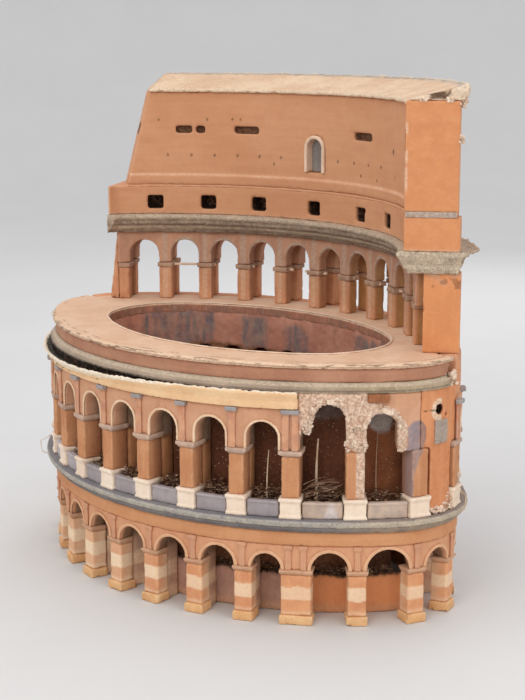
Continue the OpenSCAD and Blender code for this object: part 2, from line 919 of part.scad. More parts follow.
// ---- outer face of the tall wall ----
module outer_pilasters() {
    color("tan")
        for (i = [1:M - 1]) {
            at(MAIN, THIRD[i])
                block([-outer_face + 0.4, -outer_face + 8], [-7, 7], [third_block_z, cornice_z - 0.4]);
            at(MAIN, THIRD[i])
                if (i < M - 1)
                    block([-outer_face + 0.4, -outer_face + 7], [-8, 8], [attic_z + 0.4, bed_z - 4]);
            at(MAIN, THIRD[i])
                if (i < M - 1)
                    block([-outer_face + 0.4, -outer_face + 7], [-8, 8], [bed_z + 4, wall_top - 12]);
        }
}

module outer_corbels() {
    color("wheat")
        for (i = [1:M - 2], y = [-25, 25])
            at(MAIN, (THIRD[i] + THIRD[i + 1]) / 2 + y)
                block([-outer_face + 0.4, 4], [-5, 5], [868, 882]);
}

// Two dowels tie the end column, the cornice and the end block together
module dowel_pair(slack) {
    for (x = [-60, -28])
        translate([x, -20, cornice_z - 16])
            cylinder(r = 5 + slack, h = attic_z - cornice_z + 32);
}

module dowels() {
    color("silver")
        at(MAIN, cut_s)
            dowel_pair(0);
}

arena_floor();
ground_plinths();
ground_piers();
ground_radial_walls();
ground_imposts();
ground_arch_blocks();
ground_archivolts();
ground_pilasters();
ground_back_wall();
gallery_floor();
frieze_ring();
ledge_bed_moulding();
ledge_lip();
pedestals();
parapet_panels();
upper_piers();
upper_radial_walls();
upper_imposts();
upper_arch_blocks();
upper_archivolts();
upper_pilasters();
gallery_back_wall();
entablature_core();
yellow_cornice();
ruin_masonry();
ruin_lintel();
drain_panel();
plaster_patch();
attic_base_moulding();
attic_band_blocks();
attic_coping();
deck_slab();
opening_rim();
arena_wall();
arena_arcade();
third_piers();
third_imposts();
third_arch_blocks();
third_link_bars();
third_buttress();
end_column();
tall_cornice();
attic_lower_course();
mortar_bed();
attic_upper_wall();
niche_frame();
niche_back();
wall_coping();
outer_pilasters();
outer_corbels();
dowels();
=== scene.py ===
"""Looks of a painted cement miniature: weathered castings, procedural paint, debris, studio."""
import math
import random

import bmesh
import bpy
import numpy as np
from mathutils import Euler, Matrix, Vector


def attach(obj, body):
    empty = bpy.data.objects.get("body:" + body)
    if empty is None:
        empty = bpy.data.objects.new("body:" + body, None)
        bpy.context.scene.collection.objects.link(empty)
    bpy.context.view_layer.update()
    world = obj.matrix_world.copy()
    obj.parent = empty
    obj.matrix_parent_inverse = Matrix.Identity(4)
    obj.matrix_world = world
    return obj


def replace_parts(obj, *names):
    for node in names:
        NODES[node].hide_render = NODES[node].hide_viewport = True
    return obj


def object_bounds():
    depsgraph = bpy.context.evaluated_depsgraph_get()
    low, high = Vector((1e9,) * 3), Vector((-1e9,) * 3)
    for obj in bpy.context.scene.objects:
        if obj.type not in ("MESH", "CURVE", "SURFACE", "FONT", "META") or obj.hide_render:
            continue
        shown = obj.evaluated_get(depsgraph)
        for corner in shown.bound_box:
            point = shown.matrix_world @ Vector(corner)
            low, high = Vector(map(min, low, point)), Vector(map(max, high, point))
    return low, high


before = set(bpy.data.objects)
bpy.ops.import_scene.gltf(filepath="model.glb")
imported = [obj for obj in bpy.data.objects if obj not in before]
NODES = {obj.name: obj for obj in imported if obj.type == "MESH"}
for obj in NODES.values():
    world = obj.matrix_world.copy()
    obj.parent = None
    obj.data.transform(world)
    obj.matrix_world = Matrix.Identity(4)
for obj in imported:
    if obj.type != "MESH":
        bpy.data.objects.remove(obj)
cad_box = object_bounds()
MM = 0.001
scene = bpy.context.scene

# ---- camera, light and floor ----
CAMERA_AT = (2.187, -2.271, 1.080)
CAMERA_TURN = 43.27
CAMERA_TILT = 78.44
CAMERA_LENS = 82.2
# The floor's profile: distance out and height, in metres
BOWL = ((0.0, 0.0), (3.0, 0.0), (6.0, 0.0), (7.0, 0.05), (8.0, 0.25), (8.9, 0.7), (9.5, 1.4),
        (9.8, 2.3), (10.0, 3.4))


def make_camera():
    """The camera stands off the oval's front right, a little above the top of the wall."""
    data = bpy.data.cameras.new("camera")
    data.lens = CAMERA_LENS
    data.sensor_width = 36
    camera = bpy.data.objects.new("camera", data)
    camera.location = CAMERA_AT
    camera.rotation_euler = Euler((math.radians(CAMERA_TILT), 0, math.radians(CAMERA_TURN)))
    scene.collection.objects.link(camera)
    scene.camera = camera


def make_light(name, place, size, watts, tint):
    """A large soft panel that faces the middle of the object."""
    data = bpy.data.lights.new(name, "AREA")
    data.shape = "DISK"
    data.size = size
    data.energy = watts
    data.color = tint
    lamp = bpy.data.objects.new(name, data)
    lamp.location = place
    aim = Vector((0, 0, 0.45)) - Vector(place)
    lamp.rotation_euler = aim.to_track_quat("-Z", "Y").to_euler()
    scene.collection.objects.link(lamp)


def make_studio():
    """A pale floor that curves up far away, under an even, slightly warm sky."""
    world = bpy.data.worlds.new("studio")
    world.use_nodes = True
    world.node_tree.nodes["Background"].inputs["Color"].default_value = (0.95, 0.96, 1.0, 1)
    world.node_tree.nodes["Background"].inputs["Strength"].default_value = 0.86
    scene.world = world
    scene.view_settings.view_transform = "Standard"
    make_light("key", (1.2, -3.4, 2.6), 2.2, 38, (1.0, 0.96, 0.90))
    make_light("fill", (3.6, -0.6, 1.6), 2.4, 20, (1.0, 0.97, 0.93))
    make_light("top", (-0.6, -0.6, 3.6), 2.0, 15, (1.0, 0.98, 0.96))
    make_light("back", (-1.5, 3.4, 2.2), 2.4, 20, (0.96, 0.98, 1.0))
    data = bpy.data.meshes.new("floor")
    co, faces, sides = [], [], 96
    for reach, height in BOWL:
        for k in range(sides):
            turn = 2 * math.pi * k / sides
            co.append((reach * math.cos(turn), reach * math.sin(turn), height))
    for inner in range(0, (len(BOWL) - 1) * sides, sides):
        outer = inner + sides
        for k in range(sides):
            after = (k + 1) % sides
            faces.append((inner + k, inner + after, outer + after, outer + k))
    data.from_pydata(co, [], faces)
    data.shade_smooth()
    floor = bpy.data.objects.new("floor", data)
    floor.location.z = cad_box[0].z - 0.0005
    scene.collection.objects.link(floor)
    return floor


# ---- noise and mesh arrays ----
def lattice(ix, iy, iz, seed):
    """A repeatable random number from 0 to 1 for each point of a whole-number lattice."""
    h = (ix * 374761393 + iy * 668265263 + iz * 1440662683 + seed * 1013904223) & 0xFFFFFFFF
    h = ((h ^ (h >> 13)) * 1274126177) & 0xFFFFFFFF
    return ((h ^ (h >> 16)) & 0xFFFF) / 65535.0


def noise(points, size_mm, seed=0):
    """Smooth noise from -1 to 1, with features of about that size."""
    q = points / (size_mm * MM)
    cell = np.floor(q).astype(np.int64)
    f = q - cell
    f = f * f * (3 - 2 * f)
    total = np.zeros(len(points))
    for dx in (0, 1):
        wx = f[:, 0] if dx else 1 - f[:, 0]
        for dy in (0, 1):
            wy = f[:, 1] if dy else 1 - f[:, 1]
            for dz in (0, 1):
                wz = f[:, 2] if dz else 1 - f[:, 2]
                total += wx * wy * wz * lattice(cell[:, 0] + dx, cell[:, 1] + dy, cell[:, 2] + dz, seed)
    return total * 2 - 1


def neighbour_mean(co, quads):
    """The mean place of each vertex's neighbours."""
    total = np.zeros_like(co)
    count = np.zeros(len(co))
    for a, b in ((0, 1), (1, 2), (2, 3), (3, 0)):
        for here, there in ((quads[:, a], quads[:, b]), (quads[:, b], quads[:, a])):
            count += np.bincount(here, minlength=len(co))
            for axis in range(3):
                total[:, axis] += np.bincount(here, co[there, axis], len(co))
    return total / np.maximum(count, 1)[:, None]


def normals_of(co, quads):
    """Unit vertex normals."""
    face = np.cross(co[quads[:, 2]] - co[quads[:, 0]], co[quads[:, 3]] - co[quads[:, 1]])
    total = np.zeros_like(co)
    for corner in range(4):
        for axis in range(3):
            total[:, axis] += np.bincount(quads[:, corner], face[:, axis], len(co))
    return total / np.maximum(np.linalg.norm(total, axis=1), 1e-12)[:, None]


def raw_mesh(node):
    """The node's mesh with its seams closed."""
    bm = bmesh.new()
    bm.from_mesh(NODES[node].data)
    bmesh.ops.remove_doubles(bm, verts=bm.verts, dist=2e-5)
    order = {}
    for face in bm.faces:
        for vert in face.verts:
            order.setdefault(vert, len(order))
    mesh = bpy.data.meshes.new("raw")
    mesh.from_pydata([v.co[:] for v in order], [], [[order[v] for v in f.verts] for f in bm.faces])
    bm.free()
    return mesh


def voxel_arrays(mesh, voxel_mm):
    """Remeshes a mesh to even quads, then deletes it and returns the quads as a pair of arrays."""
    raw = bpy.data.objects.new("raw", mesh)
    scene.collection.objects.link(raw)
    remesh = raw.modifiers.new("even", "REMESH")
    remesh.mode = "VOXEL"
    remesh.voxel_size = voxel_mm * MM
    even = raw.evaluated_get(bpy.context.evaluated_depsgraph_get()).data
    co = np.empty(len(even.vertices) * 3, np.float32)
    even.vertices.foreach_get("co", co)
    quads = np.empty(len(even.loops), np.int32)
    even.loops.foreach_get("vertex_index", quads)
    bpy.data.objects.remove(raw)
    bpy.data.meshes.remove(mesh)
    return co.reshape(-1, 3).astype(float), quads.reshape(-1, 4)


# ---- the oval plan, with the CAD's own dimensions ----
def oval(a, b, degrees):
    """End centre, side centre, end radius, side radius, half end arc, half perimeter, end angle."""
    t = math.radians(degrees)
    arm = (a - b) / (math.cos(t) + math.sin(t) - 1)
    r = a - arm * math.cos(t)
    return (arm * math.cos(t), arm * math.sin(t), r, r + arm, r * t,
            2 * (r * t + (r + arm) * (math.pi / 2 - t)), t)


MAIN = oval(500, 320, 38)
PIT = oval(330, 203, 55)
PIT_AT = np.array((20, -22, 0)) * MM
PIERS = [-282 - 101 * k for k in range(10, -1, -1)] + [-169, -56] + [46.8 + 102.7 * k for k in range(12)]
UPPER = [p - 10 for p in PIERS[:11]] + [PIERS[11] - 6] + PIERS[12:]
# Middle along the wall, half width and springing height of the two ruined arches
RUINS = ((-222, 30, 388), (-128, 29, 373))
CUT = math.radians(34)
END_HALF = 46
ATTIC_INNER = 107
# Heights of the CAD's parts
LOW_WALL_TOP = 75
GALLERY_TOP = 206
PEDESTAL_TOP = 242
CAPITAL_BOTTOM = 333
RIM_TOP = 442
DECK_TOP = 488.2
# Middle of the drain hole: along the wall and up
DRAIN_AT = (-12, 398)
# Middles of the third arcade's bays
THIRD_BAYS = [(PIERS[i] + PIERS[i + 1]) / 2 for i in range(14, 23)]
# Grey stains on the pit's wall: middle along it, half width and top
STAINS = ((745, 85, 478), (570, 34, 470), (465, 36, 455), (240, 50, 462), (150, 30, 480))
# Small holes in the tall wall, painted dark as shade: place along it, height and radius
HOLES = [(s, 803, 2.6) for s in range(380, 1081, 62) if abs(s - 645) > 45]
HOLES += [(1085, 878, 2), (958, 879, 2), (889, 880, 2.2), (868, 880, 2), (772, 789, 2),
          (475, 780, 2.4), (400, 776, 2), (305, 838, 5), (290, 790, 2.4)]


def along(co, o):
    """Distance along the oval (anticlockwise from its +X tip) and outward from it, in mm."""
    front = co[:, 1] < 0
    x = np.where(front, -co[:, 0], co[:, 0]) / MM
    y = np.where(front, -co[:, 1], co[:, 1]) / MM
    s = o[5] / 2 + o[3] * (np.arctan2(y + o[1], x) - math.pi / 2)
    d = np.hypot(x, y + o[1]) - o[3]
    right = np.arctan2(y, x - o[0])
    left = np.arctan2(y, -x - o[0])
    s = np.where(right <= o[6], o[2] * right, np.where(left <= o[6], o[5] - o[2] * left, s))
    d = np.where(right <= o[6], np.hypot(x - o[0], y) - o[2],
                 np.where(left <= o[6], np.hypot(x + o[0], y) - o[2], d))
    return s - np.where(front, o[5], 0), d


def point(o, s, d, z):
    """The place at s along the oval, d outward and z up, in metres."""
    lap = math.floor((s + o[4]) / o[5])
    rest = s - lap * o[5]
    if rest < o[4]:
        angle, centre, r = rest / o[2], Vector((o[0], 0)), o[2]
    else:
        angle, centre, r = math.pi / 2 + (rest - o[5] / 2) / o[3], Vector((0, -o[1])), o[3]
    place = centre + (r + d) * Vector((math.cos(angle), math.sin(angle)))
    sign = 1 if lap % 2 == 0 else -1
    return Vector((sign * place.x, sign * place.y, z)) * MM


def smooth(x, low, high):
    """0 below low, 1 above high, eased between."""
    t = np.clip((x - low) / (high - low), 0, 1)
    return t * t * (3 - 2 * t)


def within(x, low, high, soft=2.0):
    """1 between low and high, falling to 0 over soft outside them."""
    return smooth(x, low - soft, low) * (1 - smooth(x, high, high + soft))


class Place:
    """A casting's vertices: along the wall, out from it and up, and in the end block's frame."""

    def __init__(self, co, quads):
        self.co = co
        self.normal = normals_of(co, quads)
        self.s, self.d = along(co, MAIN)
        self.z = co[:, 2] / MM
        x = co[:, 0] / MM - MAIN[0]
        y = co[:, 1] / MM
        self.end_x = x * math.cos(CUT) + y * math.sin(CUT) - MAIN[2]
        self.end_y = -x * math.sin(CUT) + y * math.cos(CUT)

    def wobble(self, size_mm, seed):
        return noise(self.co, size_mm, seed)


def piece_from(name, co, quads, paint, marks=None):
    """A smooth-shaded piece of the object from arrays, with its marks as attributes."""
    mesh = bpy.data.meshes.new(name)
    mesh.vertices.add(len(co))
    mesh.vertices.foreach_set("co", co.astype(np.float32).ravel())
    mesh.loops.add(quads.size)
    mesh.loops.foreach_set("vertex_index", quads.astype(np.int32).ravel())
    mesh.polygons.add(len(quads))
    mesh.polygons.foreach_set("loop_start", np.arange(0, quads.size, quads.shape[1], dtype=np.int32))
    mesh.update(calc_edges=True)
    s, d = along(co, MAIN)
    wall = mesh.attributes.new("wall", "FLOAT_VECTOR", "POINT")
    wall.data.foreach_set("vector", np.stack([s * MM, d * MM, co[:, 2]], 1).astype(np.float32).ravel())
    for key, values in (marks or {}).items():
        data = mesh.attributes.new(key, "FLOAT", "POINT")
        data.data.foreach_set("value", np.clip(values, 0, 1) * np.ones(len(co), np.float32))
    mesh.shade_smooth()
    mesh.materials.append(paint)
    piece = bpy.data.objects.new(name, mesh)
    scene.collection.objects.link(piece)
    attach(piece, "root")
    return piece


def weather(co, quads, wear, rough_mm, chip_mm, seed):
    """Softens edges in patches, breaks chips out of them and roughens the faces."""
    patch = np.clip(0.5 + 0.8 * noise(co, 26, seed), 0.1, 1)[:, None]
    for _ in range(wear):
        co = co + 0.5 * patch * (neighbour_mean(co, quads) - co)
    normal = normals_of(co, quads)
    bulge = np.einsum("ij,ij->i", co - neighbour_mean(co, quads), normal)
    edge = np.clip(bulge / (0.25 * MM), 0, 1)
    chips = np.clip(noise(co, 9, seed + 1) * 2.0 - 0.7, 0, 1)
    offset = rough_mm * (0.6 * noise(co, 18, seed + 2) + 0.4 * noise(co, 6, seed + 3))
    offset -= chip_mm * edge * chips
    return co + normal * (offset * MM)[:, None]


# ---- marks: what is dark, bare or of another tint on each casting ----
MARKS = {}


def marks_of(*nodes):
    """Makes a function the one that marks those nodes."""
    def register(function):
        MARKS.update(dict.fromkeys(nodes, function))
        return function
    return register


def either(*masks):
    """The strongest of some masks at each vertex."""
    strongest = masks[0]
    for mask in masks[1:]:
        strongest = np.maximum(strongest, mask)
    return strongest


def arch_distance(place, middle, half, spring):
    """Distance out from the edge of an arched opening, in mm."""
    return np.hypot(place.s - middle, np.maximum(place.z - spring, 0)) - half


def cut_face(place, low=END_HALF - 2, high=END_HALF + 1):
    """The end block's cut side."""
    return smooth(-place.end_y, low, high)


def bare_zone(place):
    """Where the paint has broken away from the rough masonry round the two ruined arches."""
    s, z = place.s, place.z
    (first, _, first_spring), (second, _, _) = RUINS
    between = -175
    ragged = 5 * place.wobble(12, 71) + 3 * place.wobble(5, 72)
    low = np.where(s < first, 357, CAPITAL_BOTTOM)
    one = smooth(s + 277 + 0.4 * ragged, -1, 1) * smooth(z - low + 1.5 * ragged, -2, 3) * (s < between)
    left = (s < second) * smooth(z - CAPITAL_BOTTOM + ragged, -2, 3)
    right = smooth(-83 + 0.6 * ragged - s, -1, 2) * (z < first_spring)
    rim = smooth(13 - arch_distance(place, *RUINS[1]) + ragged, -2, 3)
    two = either(left, right, rim) * (s >= between) * (s < -78)
    two = two * (z < 424 + ragged + 20 * smooth(-150 - s, 0, 12))
    return either(one, two) * (place.d > -14)


@marks_of("upper_piers", "upper_arch_blocks")
def upper_marks(place):
    """The second storey: bare masonry, painted shade on inner faces, a mauve painted cast shadow on the last front
    pier.
    """
    s, d, z = place.s, place.d, place.z
    bare = bare_zone(place)
    # The mauve mark is a painted cast shadow across the last front pier: a slanted edge with an arched top.
    slant = s - (-85 + 0.355 * (z - PEDESTAL_TOP))
    niche = smooth(-arch_distance(place, -63, 19, 365), -1, 1) * smooth(3 - slant, -1, 1) * (z > 326)
    mauve = either(smooth(-slant, -1, 1) * (z < 340) * (s < -28), niche) * (s > -84)
    mauve = either(mauve, within(s, -77, -71, 1) * (z < 335))
    reveal = smooth(-d, 2, 8) * (z > 345) * within(s, -215, -186, 6)
    # Painted shade on the inner faces, darker further in.
    dark = (0.75 * smooth(-d, 6, 34) + 0.25 * smooth(-d, 20, 60)) * (1 - reveal)
    seam = (np.abs(s + 12 + 2 * place.wobble(9, 5)) < 1.4) * within(z, 250, 300)
    return {"bare": bare, "tint": either(mauve, reveal), "dark": either(dark * (1 - bare), 0.8 * seam)}


@marks_of("attic_upper_wall", "attic_lower_course")
def attic_marks(place):
    """The tall wall: painted shade in its openings and small holes, a painted highlight along its step, a pale line
    at its foot, the orange cut end and its chips.
    """
    z, end_x = place.z, place.end_x
    deep = place.d + ATTIC_INNER
    end = cut_face(place, END_HALF - 1, END_HALF + 0.5) * (end_x > -112)
    # Painted shade in the windows, the slots and the small holes, stronger deeper in.
    window = (z > 684) * (z < 720) * smooth(deep, 3, 10) * (1 - smooth(deep, 44, 46.5) * 0.35)
    dark = either(window, (z > 846) * (z < 869) * smooth(deep, 4.5, 10) * 0.7)
    for hole_s, hole_z, r in HOLES:
        reach = np.hypot(place.s - hole_s, z - hole_z)
        dark = either(dark, 0.7 * (1 - smooth(reach, r - 0.5, r + 1.4)))
    dark = dark * (1 - smooth(place.d, -40, -30)) * (place.s > 95) * (1 - end)
    corner = within(place.end_y, -END_HALF, -41, 1) * (end_x < -100) * within(z, 858, 896, 3)
    chipped = smooth(-place.end_y, 41, 44) * within(end_x, -110, -103, 1) * (z > 765)
    chipped = chipped * smooth(place.wobble(16, 33), -0.5, 0.1)
    # Painted highlight along the top of the step.
    line = within(z, 760.5, 763, 1.5) * (0.65 + 0.3 * place.wobble(40, 3)) * (1 - end)
    low = within(z, 737, 741, 1.5) * 0.25 * (1 - end)
    foot = within(z, 677, 681, 2) * 0.5
    return {"tint": end, "dark": either(dark, 0.9 * corner), "bare": either(chipped, line, low, foot)}


@marks_of("wall_coping")
def coping_marks(place):
    """The sloped coping: grey speckled upper third, bright rims, painted shade in the broken hollow at its end."""
    upper = smooth(place.d + 4 * place.wobble(14, 4), -22, -8)
    rim = smooth(place.d, -7, -3) + smooth(-place.d, ATTIC_INNER - 1, ATTIC_INNER + 3) * 0.5
    # Painted shade in the broken hollow.
    bowl = 1 - smooth(np.hypot(place.end_x + 48, place.end_y + 34) + 3 * place.wobble(8, 8), 19, 25)
    end = cut_face(place)
    return {"tint": upper * (1 - end), "bare": rim + 0.8 * end, "dark": bowl * (place.z > 950)}


@marks_of("deck_slab")
def deck_marks(place):
    """The deck: the pit's edge takes the pit's colours; hairline chips near the rim."""
    d, z = place.d, place.z
    pit_d = along(place.co - PIT_AT, PIT)[1]
    edge = smooth(487.3 - z + 0.8 * place.wobble(8, 3), 0, 1.2) * (pit_d < 12) * (d < -40)
    wander = 5 * place.wobble(45, 91) + 2 * place.wobble(11, 92)
    crack = either(within(d + wander, -17, -16, 1.1), within(d + wander * 0.6, -3.5, -2.6, 1.0))
    crack = crack * smooth(place.wobble(21, 93), -0.1, 0.25) * (place.s < 40)
    lower = within(z, 483.2, 484.6, 0.7) * 0.55 * (d > -8)
    return {"tint": edge, "dark": either(0.75 * crack, lower),
            "bare": within(z, 485, 487.6, 1) * (d > -7) * 0.7}


@marks_of("entablature_core")
def gutter_marks(place):
    """Painted shade, near black, in the gap between the yellow rim and the grey moulding; it closes to the right.
    """
    reach = smooth(-place.s, 330, 700)
    # Painted shade in the gap.
    gap = smooth(place.z, 432 - 22 * reach, 434 - 20 * reach)
    return {"dark": gap * smooth(place.d, -8, -4) * smooth(-place.s, 285, 330), "bare": bare_zone(place)}


@marks_of("yellow_cornice")
def yellow_marks(place):
    """The rim's white ragged top and painted shade on its inner side."""
    top = RIM_TOP - 14 * smooth(-place.s, 420, 950)
    deep = 2 + 5 * smooth(-place.s, 450, 900)
    white = smooth(place.z + 1.5 * place.wobble(9, 3), top - deep - 1.5, top - deep + 1)
    # Painted shade on the inner side, which faces the gap.
    inner = smooth(13.5 - place.d + place.wobble(9, 6), -0.5, 1) * (place.z > top - 14)
    return {"bare": white, "dark": inner * 0.95}


@marks_of("attic_base_moulding")
def moulding_marks(place):
    """The grey base moulding: painted shade where it meets the rim, mossy to the right."""
    # Painted shade in the gap and along the line where the moulding meets the rim.
    gap = smooth(-place.s, 420, 650) * smooth(RIM_TOP - place.z, -1, 2) * 0.9
    return {"tint": smooth(place.s, -330, -120), "dark": either(gap, within(place.z, 440.5, 442.5, 1) * 0.45),
            "bare": within(place.z, 449, 453, 2) * 0.8}


@marks_of("ground_piers", "ground_radial_walls")
def shaft_marks(place):
    """Ground piers: the pale painted band, the paler left-hand bays and painted shade in the vaults."""
    ragged = 2.5 * place.wobble(14, 13)
    pale = within(place.z + ragged, 48, 71, 2) * (0.75 + 0.25 * place.wobble(60, 12))
    left = 0.35 * smooth(-place.s, 500, 800)
    foot = smooth(30 - place.z + ragged, 0, 10) * 0.5
    # The dark mark is painted shade, high up and deep in the vaults.
    return {"bare": pale + left + foot, "tint": smooth(-place.d, 5, 40),
            "dark": smooth(place.z, 96, 112) * smooth(-place.d, 8, 40) * 0.8}


@marks_of("ground_arch_blocks")
def ground_arch_marks(place):
    """Rough undersides of the ground arches, with brown painted shade that darkens them further in."""
    return {"dark": smooth(-place.d, 6, 16) * 0.9}


@marks_of("upper_radial_walls")
def radial_marks(place):
    """Upper side walls: painted tan-orange below the imposts, bare grey-beige above."""
    line = within(place.z + 2 * place.wobble(12, 7), 316, 321, 2)
    # Painted shade towards the back of the bay.
    back = smooth(-place.d, 44, 72)
    return {"tint": smooth(place.z + 3 * place.wobble(15, 6), 318, 322),
            "dark": either(0.55 * line, 0.55 * back) + 0.3 * smooth(250 - place.z, 0, 25)}


@marks_of("ground_back_wall")
def back_marks(place):
    """Ground back wall: orange in the front bays, mauve in the left ones, dirt on its top."""
    return {"tint": smooth(-place.s, 262, 275) * (place.s < 0),
            "dark": smooth(place.z + 5 * place.wobble(8, 5), 68, 78),
            "bare": 0.5 * smooth(22 - place.z + 4 * place.wobble(20, 4), 0, 12)}


@marks_of("gallery_back_wall")
def gallery_marks(place):
    """The gallery's back: grey vault patches in the ruined bays, lighter to the left, black between."""
    s, z = place.s, place.z
    vault = 1 - smooth(np.hypot(s + 118, (z - 372) * 1.1) + 6 * place.wobble(12, 6), 22, 32)
    first = 1 - smooth(np.hypot((s + 235) * 0.8, (z - 392) * 1.3) + 8 * place.wobble(14, 7), 20, 34)
    high = smooth(z, 300, 345)
    left = smooth(-s, 560, 700) * high * 0.9
    return {"tint": either(vault, 0.5 * first, left), "bare": smooth(-s, 600, 800) * (1 - high),
            "dark": smooth(-s, 160, 200) * (1 - smooth(-s, 560, 640)) * 0.6}


@marks_of("parapet_panels")
def parapet_marks(place):
    """Parapets: lavender in the middle, cream in the ruined bays, whiter at the far left."""
    cream = smooth(place.s, -285, -275)
    white = smooth(-place.s, 760, 930) * (0.7 + 0.3 * place.wobble(30, 3))
    return {"tint": cream,
            "bare": either(white * 0.7, 0.6 * cream * smooth(place.wobble(26, 5), 0.1, 0.5))}


@marks_of("ledge_lip", "ledge_bed_moulding")
def ledge_marks(place):
    """The ledge: thin pale lines along its edges, a darker top, tan to the right."""
    edge = either(within(place.z, 193, 195.5, 1.5), 0.6 * within(place.d, 17.5, 20, 1))
    top = smooth(place.normal[:, 2], 0.6, 0.9)
    return {"bare": edge * (0.6 + 0.4 * place.wobble(12, 7)), "tint": smooth(place.s, -260, -60),
            "dark": top * 0.45 + 0.6 * smooth(place.wobble(5, 8), 0.62, 0.75)}


@marks_of("drain_panel")
def panel_marks(place):
    """The walled-up bay: the storey's marks, a crack, and painted shade in the drain's mouth, in a pale rim."""
    s, z = place.s, place.z
    crack = np.minimum(np.abs(z - 402 + 0.15 * (s + 56) + 3 * place.wobble(10, 5)), 9)
    crack = smooth(1.6 - crack, 0, 1) * within(s, -50, -22)
    reach = np.hypot(s - DRAIN_AT[0], z - DRAIN_AT[1])
    marks = upper_marks(place)
    # Painted shade in the drain's mouth, together with the real crack.
    marks["dark"] = either(0.8 * crack, (1 - smooth(reach, 10.5, 13)) * smooth(-place.d, 1, 4))
    marks["bare"] = either(marks["bare"], 0.8 * within(reach, 12, 20, 3) * (s < -8))
    return marks


@marks_of("arena_wall", "arena_arcade")
def pit_marks(place):
    """The pit's wall: pink above, brown below, grey and purple patches that run downwards."""
    s, z = along(place.co - PIT_AT, PIT)[0], place.z
    low = smooth(402 + 9 * place.wobble(60, 4) + 4 * place.wobble(14, 5) - z, -5, 6)
    runs = noise(np.stack([s * MM, s * 0, z * MM / 4], 1), 7, 8)
    grey = np.zeros(len(s))
    for middle, half, top in STAINS:
        across = np.abs(s - middle + 9 * place.wobble(20, 21)) - half
        patch = (1 - smooth(across, -14, 6)) * smooth(top + 8 * place.wobble(14, 22) - z, -6, 8)
        grey = either(grey, patch * np.clip(0.75 + 0.5 * runs, 0, 1))
    return {"bare": low, "tint": grey * (1 - 0.7 * low), "dark": 0.25 * smooth(z, 484, 489)}


@marks_of("third_piers", "third_arch_blocks")
def third_marks(place):
    """The third arcade: pale arch bands and pier strips on its inner face, brown painted shade between its leaves.
    """
    s, d = place.s, place.d
    strip = within(np.min([np.abs(s - p) for p in PIERS[14:24]], axis=0), 0, 6, 1)
    bands = [within(arch_distance(place, middle, 30, 588), -2, 6, 1) for middle in THIRD_BAYS]
    pale = smooth(-d, 84, 87) * either(0.55 * strip, 0.9 * either(*bands) * (place.z > 568))
    inside = smooth(d, -84, -78)
    # The dark mark is painted shade between the leaves.
    return {"bare": pale, "dark": inside * (1 - smooth(d, -40, -34)) * 0.45,
            "tint": inside * smooth(700 - s, 0, 200)}


@marks_of("upper_pilasters")
def cap_marks(place):
    """Pilasters over the upper piers: only their caps are grey."""
    return {"tint": smooth(398.5 - place.z, 0, 1)}


@marks_of("mortar_bed")
def mortar_marks(place):
    """Grey mortar shows only on the cut end; along the wall it was painted over."""
    return {"bare": cut_face(place, END_HALF - 2, END_HALF), "dark": 0}


@marks_of("tall_cornice")
def cornice_marks(place):
    """Rows of the tall cornice: painted shade under each projection, painted highlights on each lip."""
    # Painted shade under the projections and painted highlights on the lips.
    shade_rows = either(within(place.z, 654, 657, 2), within(place.z, 638, 642, 2))
    highlit_lips = either(within(place.z, 668, 677, 2), within(place.z, 645, 651, 1.5))
    return {"dark": 0.5 * shade_rows * (place.d < -90), "bare": 0.55 * highlit_lips + 0.4 * cut_face(place)}


@marks_of("end_column")
def column_marks(place):
    """The end column: chipped grey patches under the cornice."""
    chipped = smooth(place.z + 14 * place.wobble(18, 4), 622, 634) * smooth(place.wobble(14, 9), -0.2, 0.2)
    soot = within(place.z, 608, 626, 4) * smooth(place.wobble(9, 2), 0.35, 0.5)
    return {"bare": 0.7 * chipped, "dark": 0.5 * soot, "tint": cut_face(place, END_HALF - 2, END_HALF + 0.5)}


# ---- edits: local changes of shape ----
def push(place, amount):
    """A shift outward from the surface, in mm."""
    return place.normal * (amount * MM)[:, None]


def lift(amount):
    """A shift upward, in mm."""
    return np.stack([0 * amount, 0 * amount, amount * MM], 1)


def break_face(place, marks):
    """Pushes the bare masonry out in rough lumps."""
    knobs = 2.2 * np.abs(place.wobble(13, 41)) + 2 * place.wobble(6, 42) + 1.2
    return push(place, marks["bare"] * np.clip(knobs, -1.5, 6) * smooth(place.d, -6, 1))


def lower_rim(place, marks):
    """The yellow rim sinks towards the left and its top is ragged."""
    sink = 0.42 * smooth(-place.s, 420, 950)
    return lift(-(place.z - 408) * sink) + lift(smooth(place.z, 434, 440) * (1.6 * place.wobble(7, 5) - 0.8))


def stand_flat(place, marks):
    """Nothing sinks below the floor."""
    return lift(np.maximum(0, -place.z))


def ragged_top(place, marks):
    """The low back wall has an uneven top."""
    uneven = 5 * place.wobble(40, 6) + 2.5 * place.wobble(12, 7) - 2
    return stand_flat(place, marks) + lift(smooth(place.z, 50, 76) * uneven)


def fill_joint(place, marks):
    """The painted mortar stands flush with the wall's inner face."""
    inner = smooth(-place.d, 102, 105) * smooth(place.end_y, -10, 0)
    return push(place, inner * 1.5) + lift(inner * 2.5 * np.clip(place.z - 742, -1, 1))


def jag(low, high, amount, size_mm):
    """Ragged edges beyond an outward distance."""
    def edit(place, marks):
        uneven = place.wobble(size_mm, 15) + 0.5 * place.wobble(size_mm / 2, 16) - 0.3
        return push(place, smooth(place.d, low, high) * amount * uneven)
    return edit


def broken_tip(place, marks):
    """The right-hand end of the low entablature is knocked about."""
    return push(place, smooth(place.s, 4, 26) * (4 * place.wobble(11, 25) + 2 * place.wobble(5, 26) - 2.5))


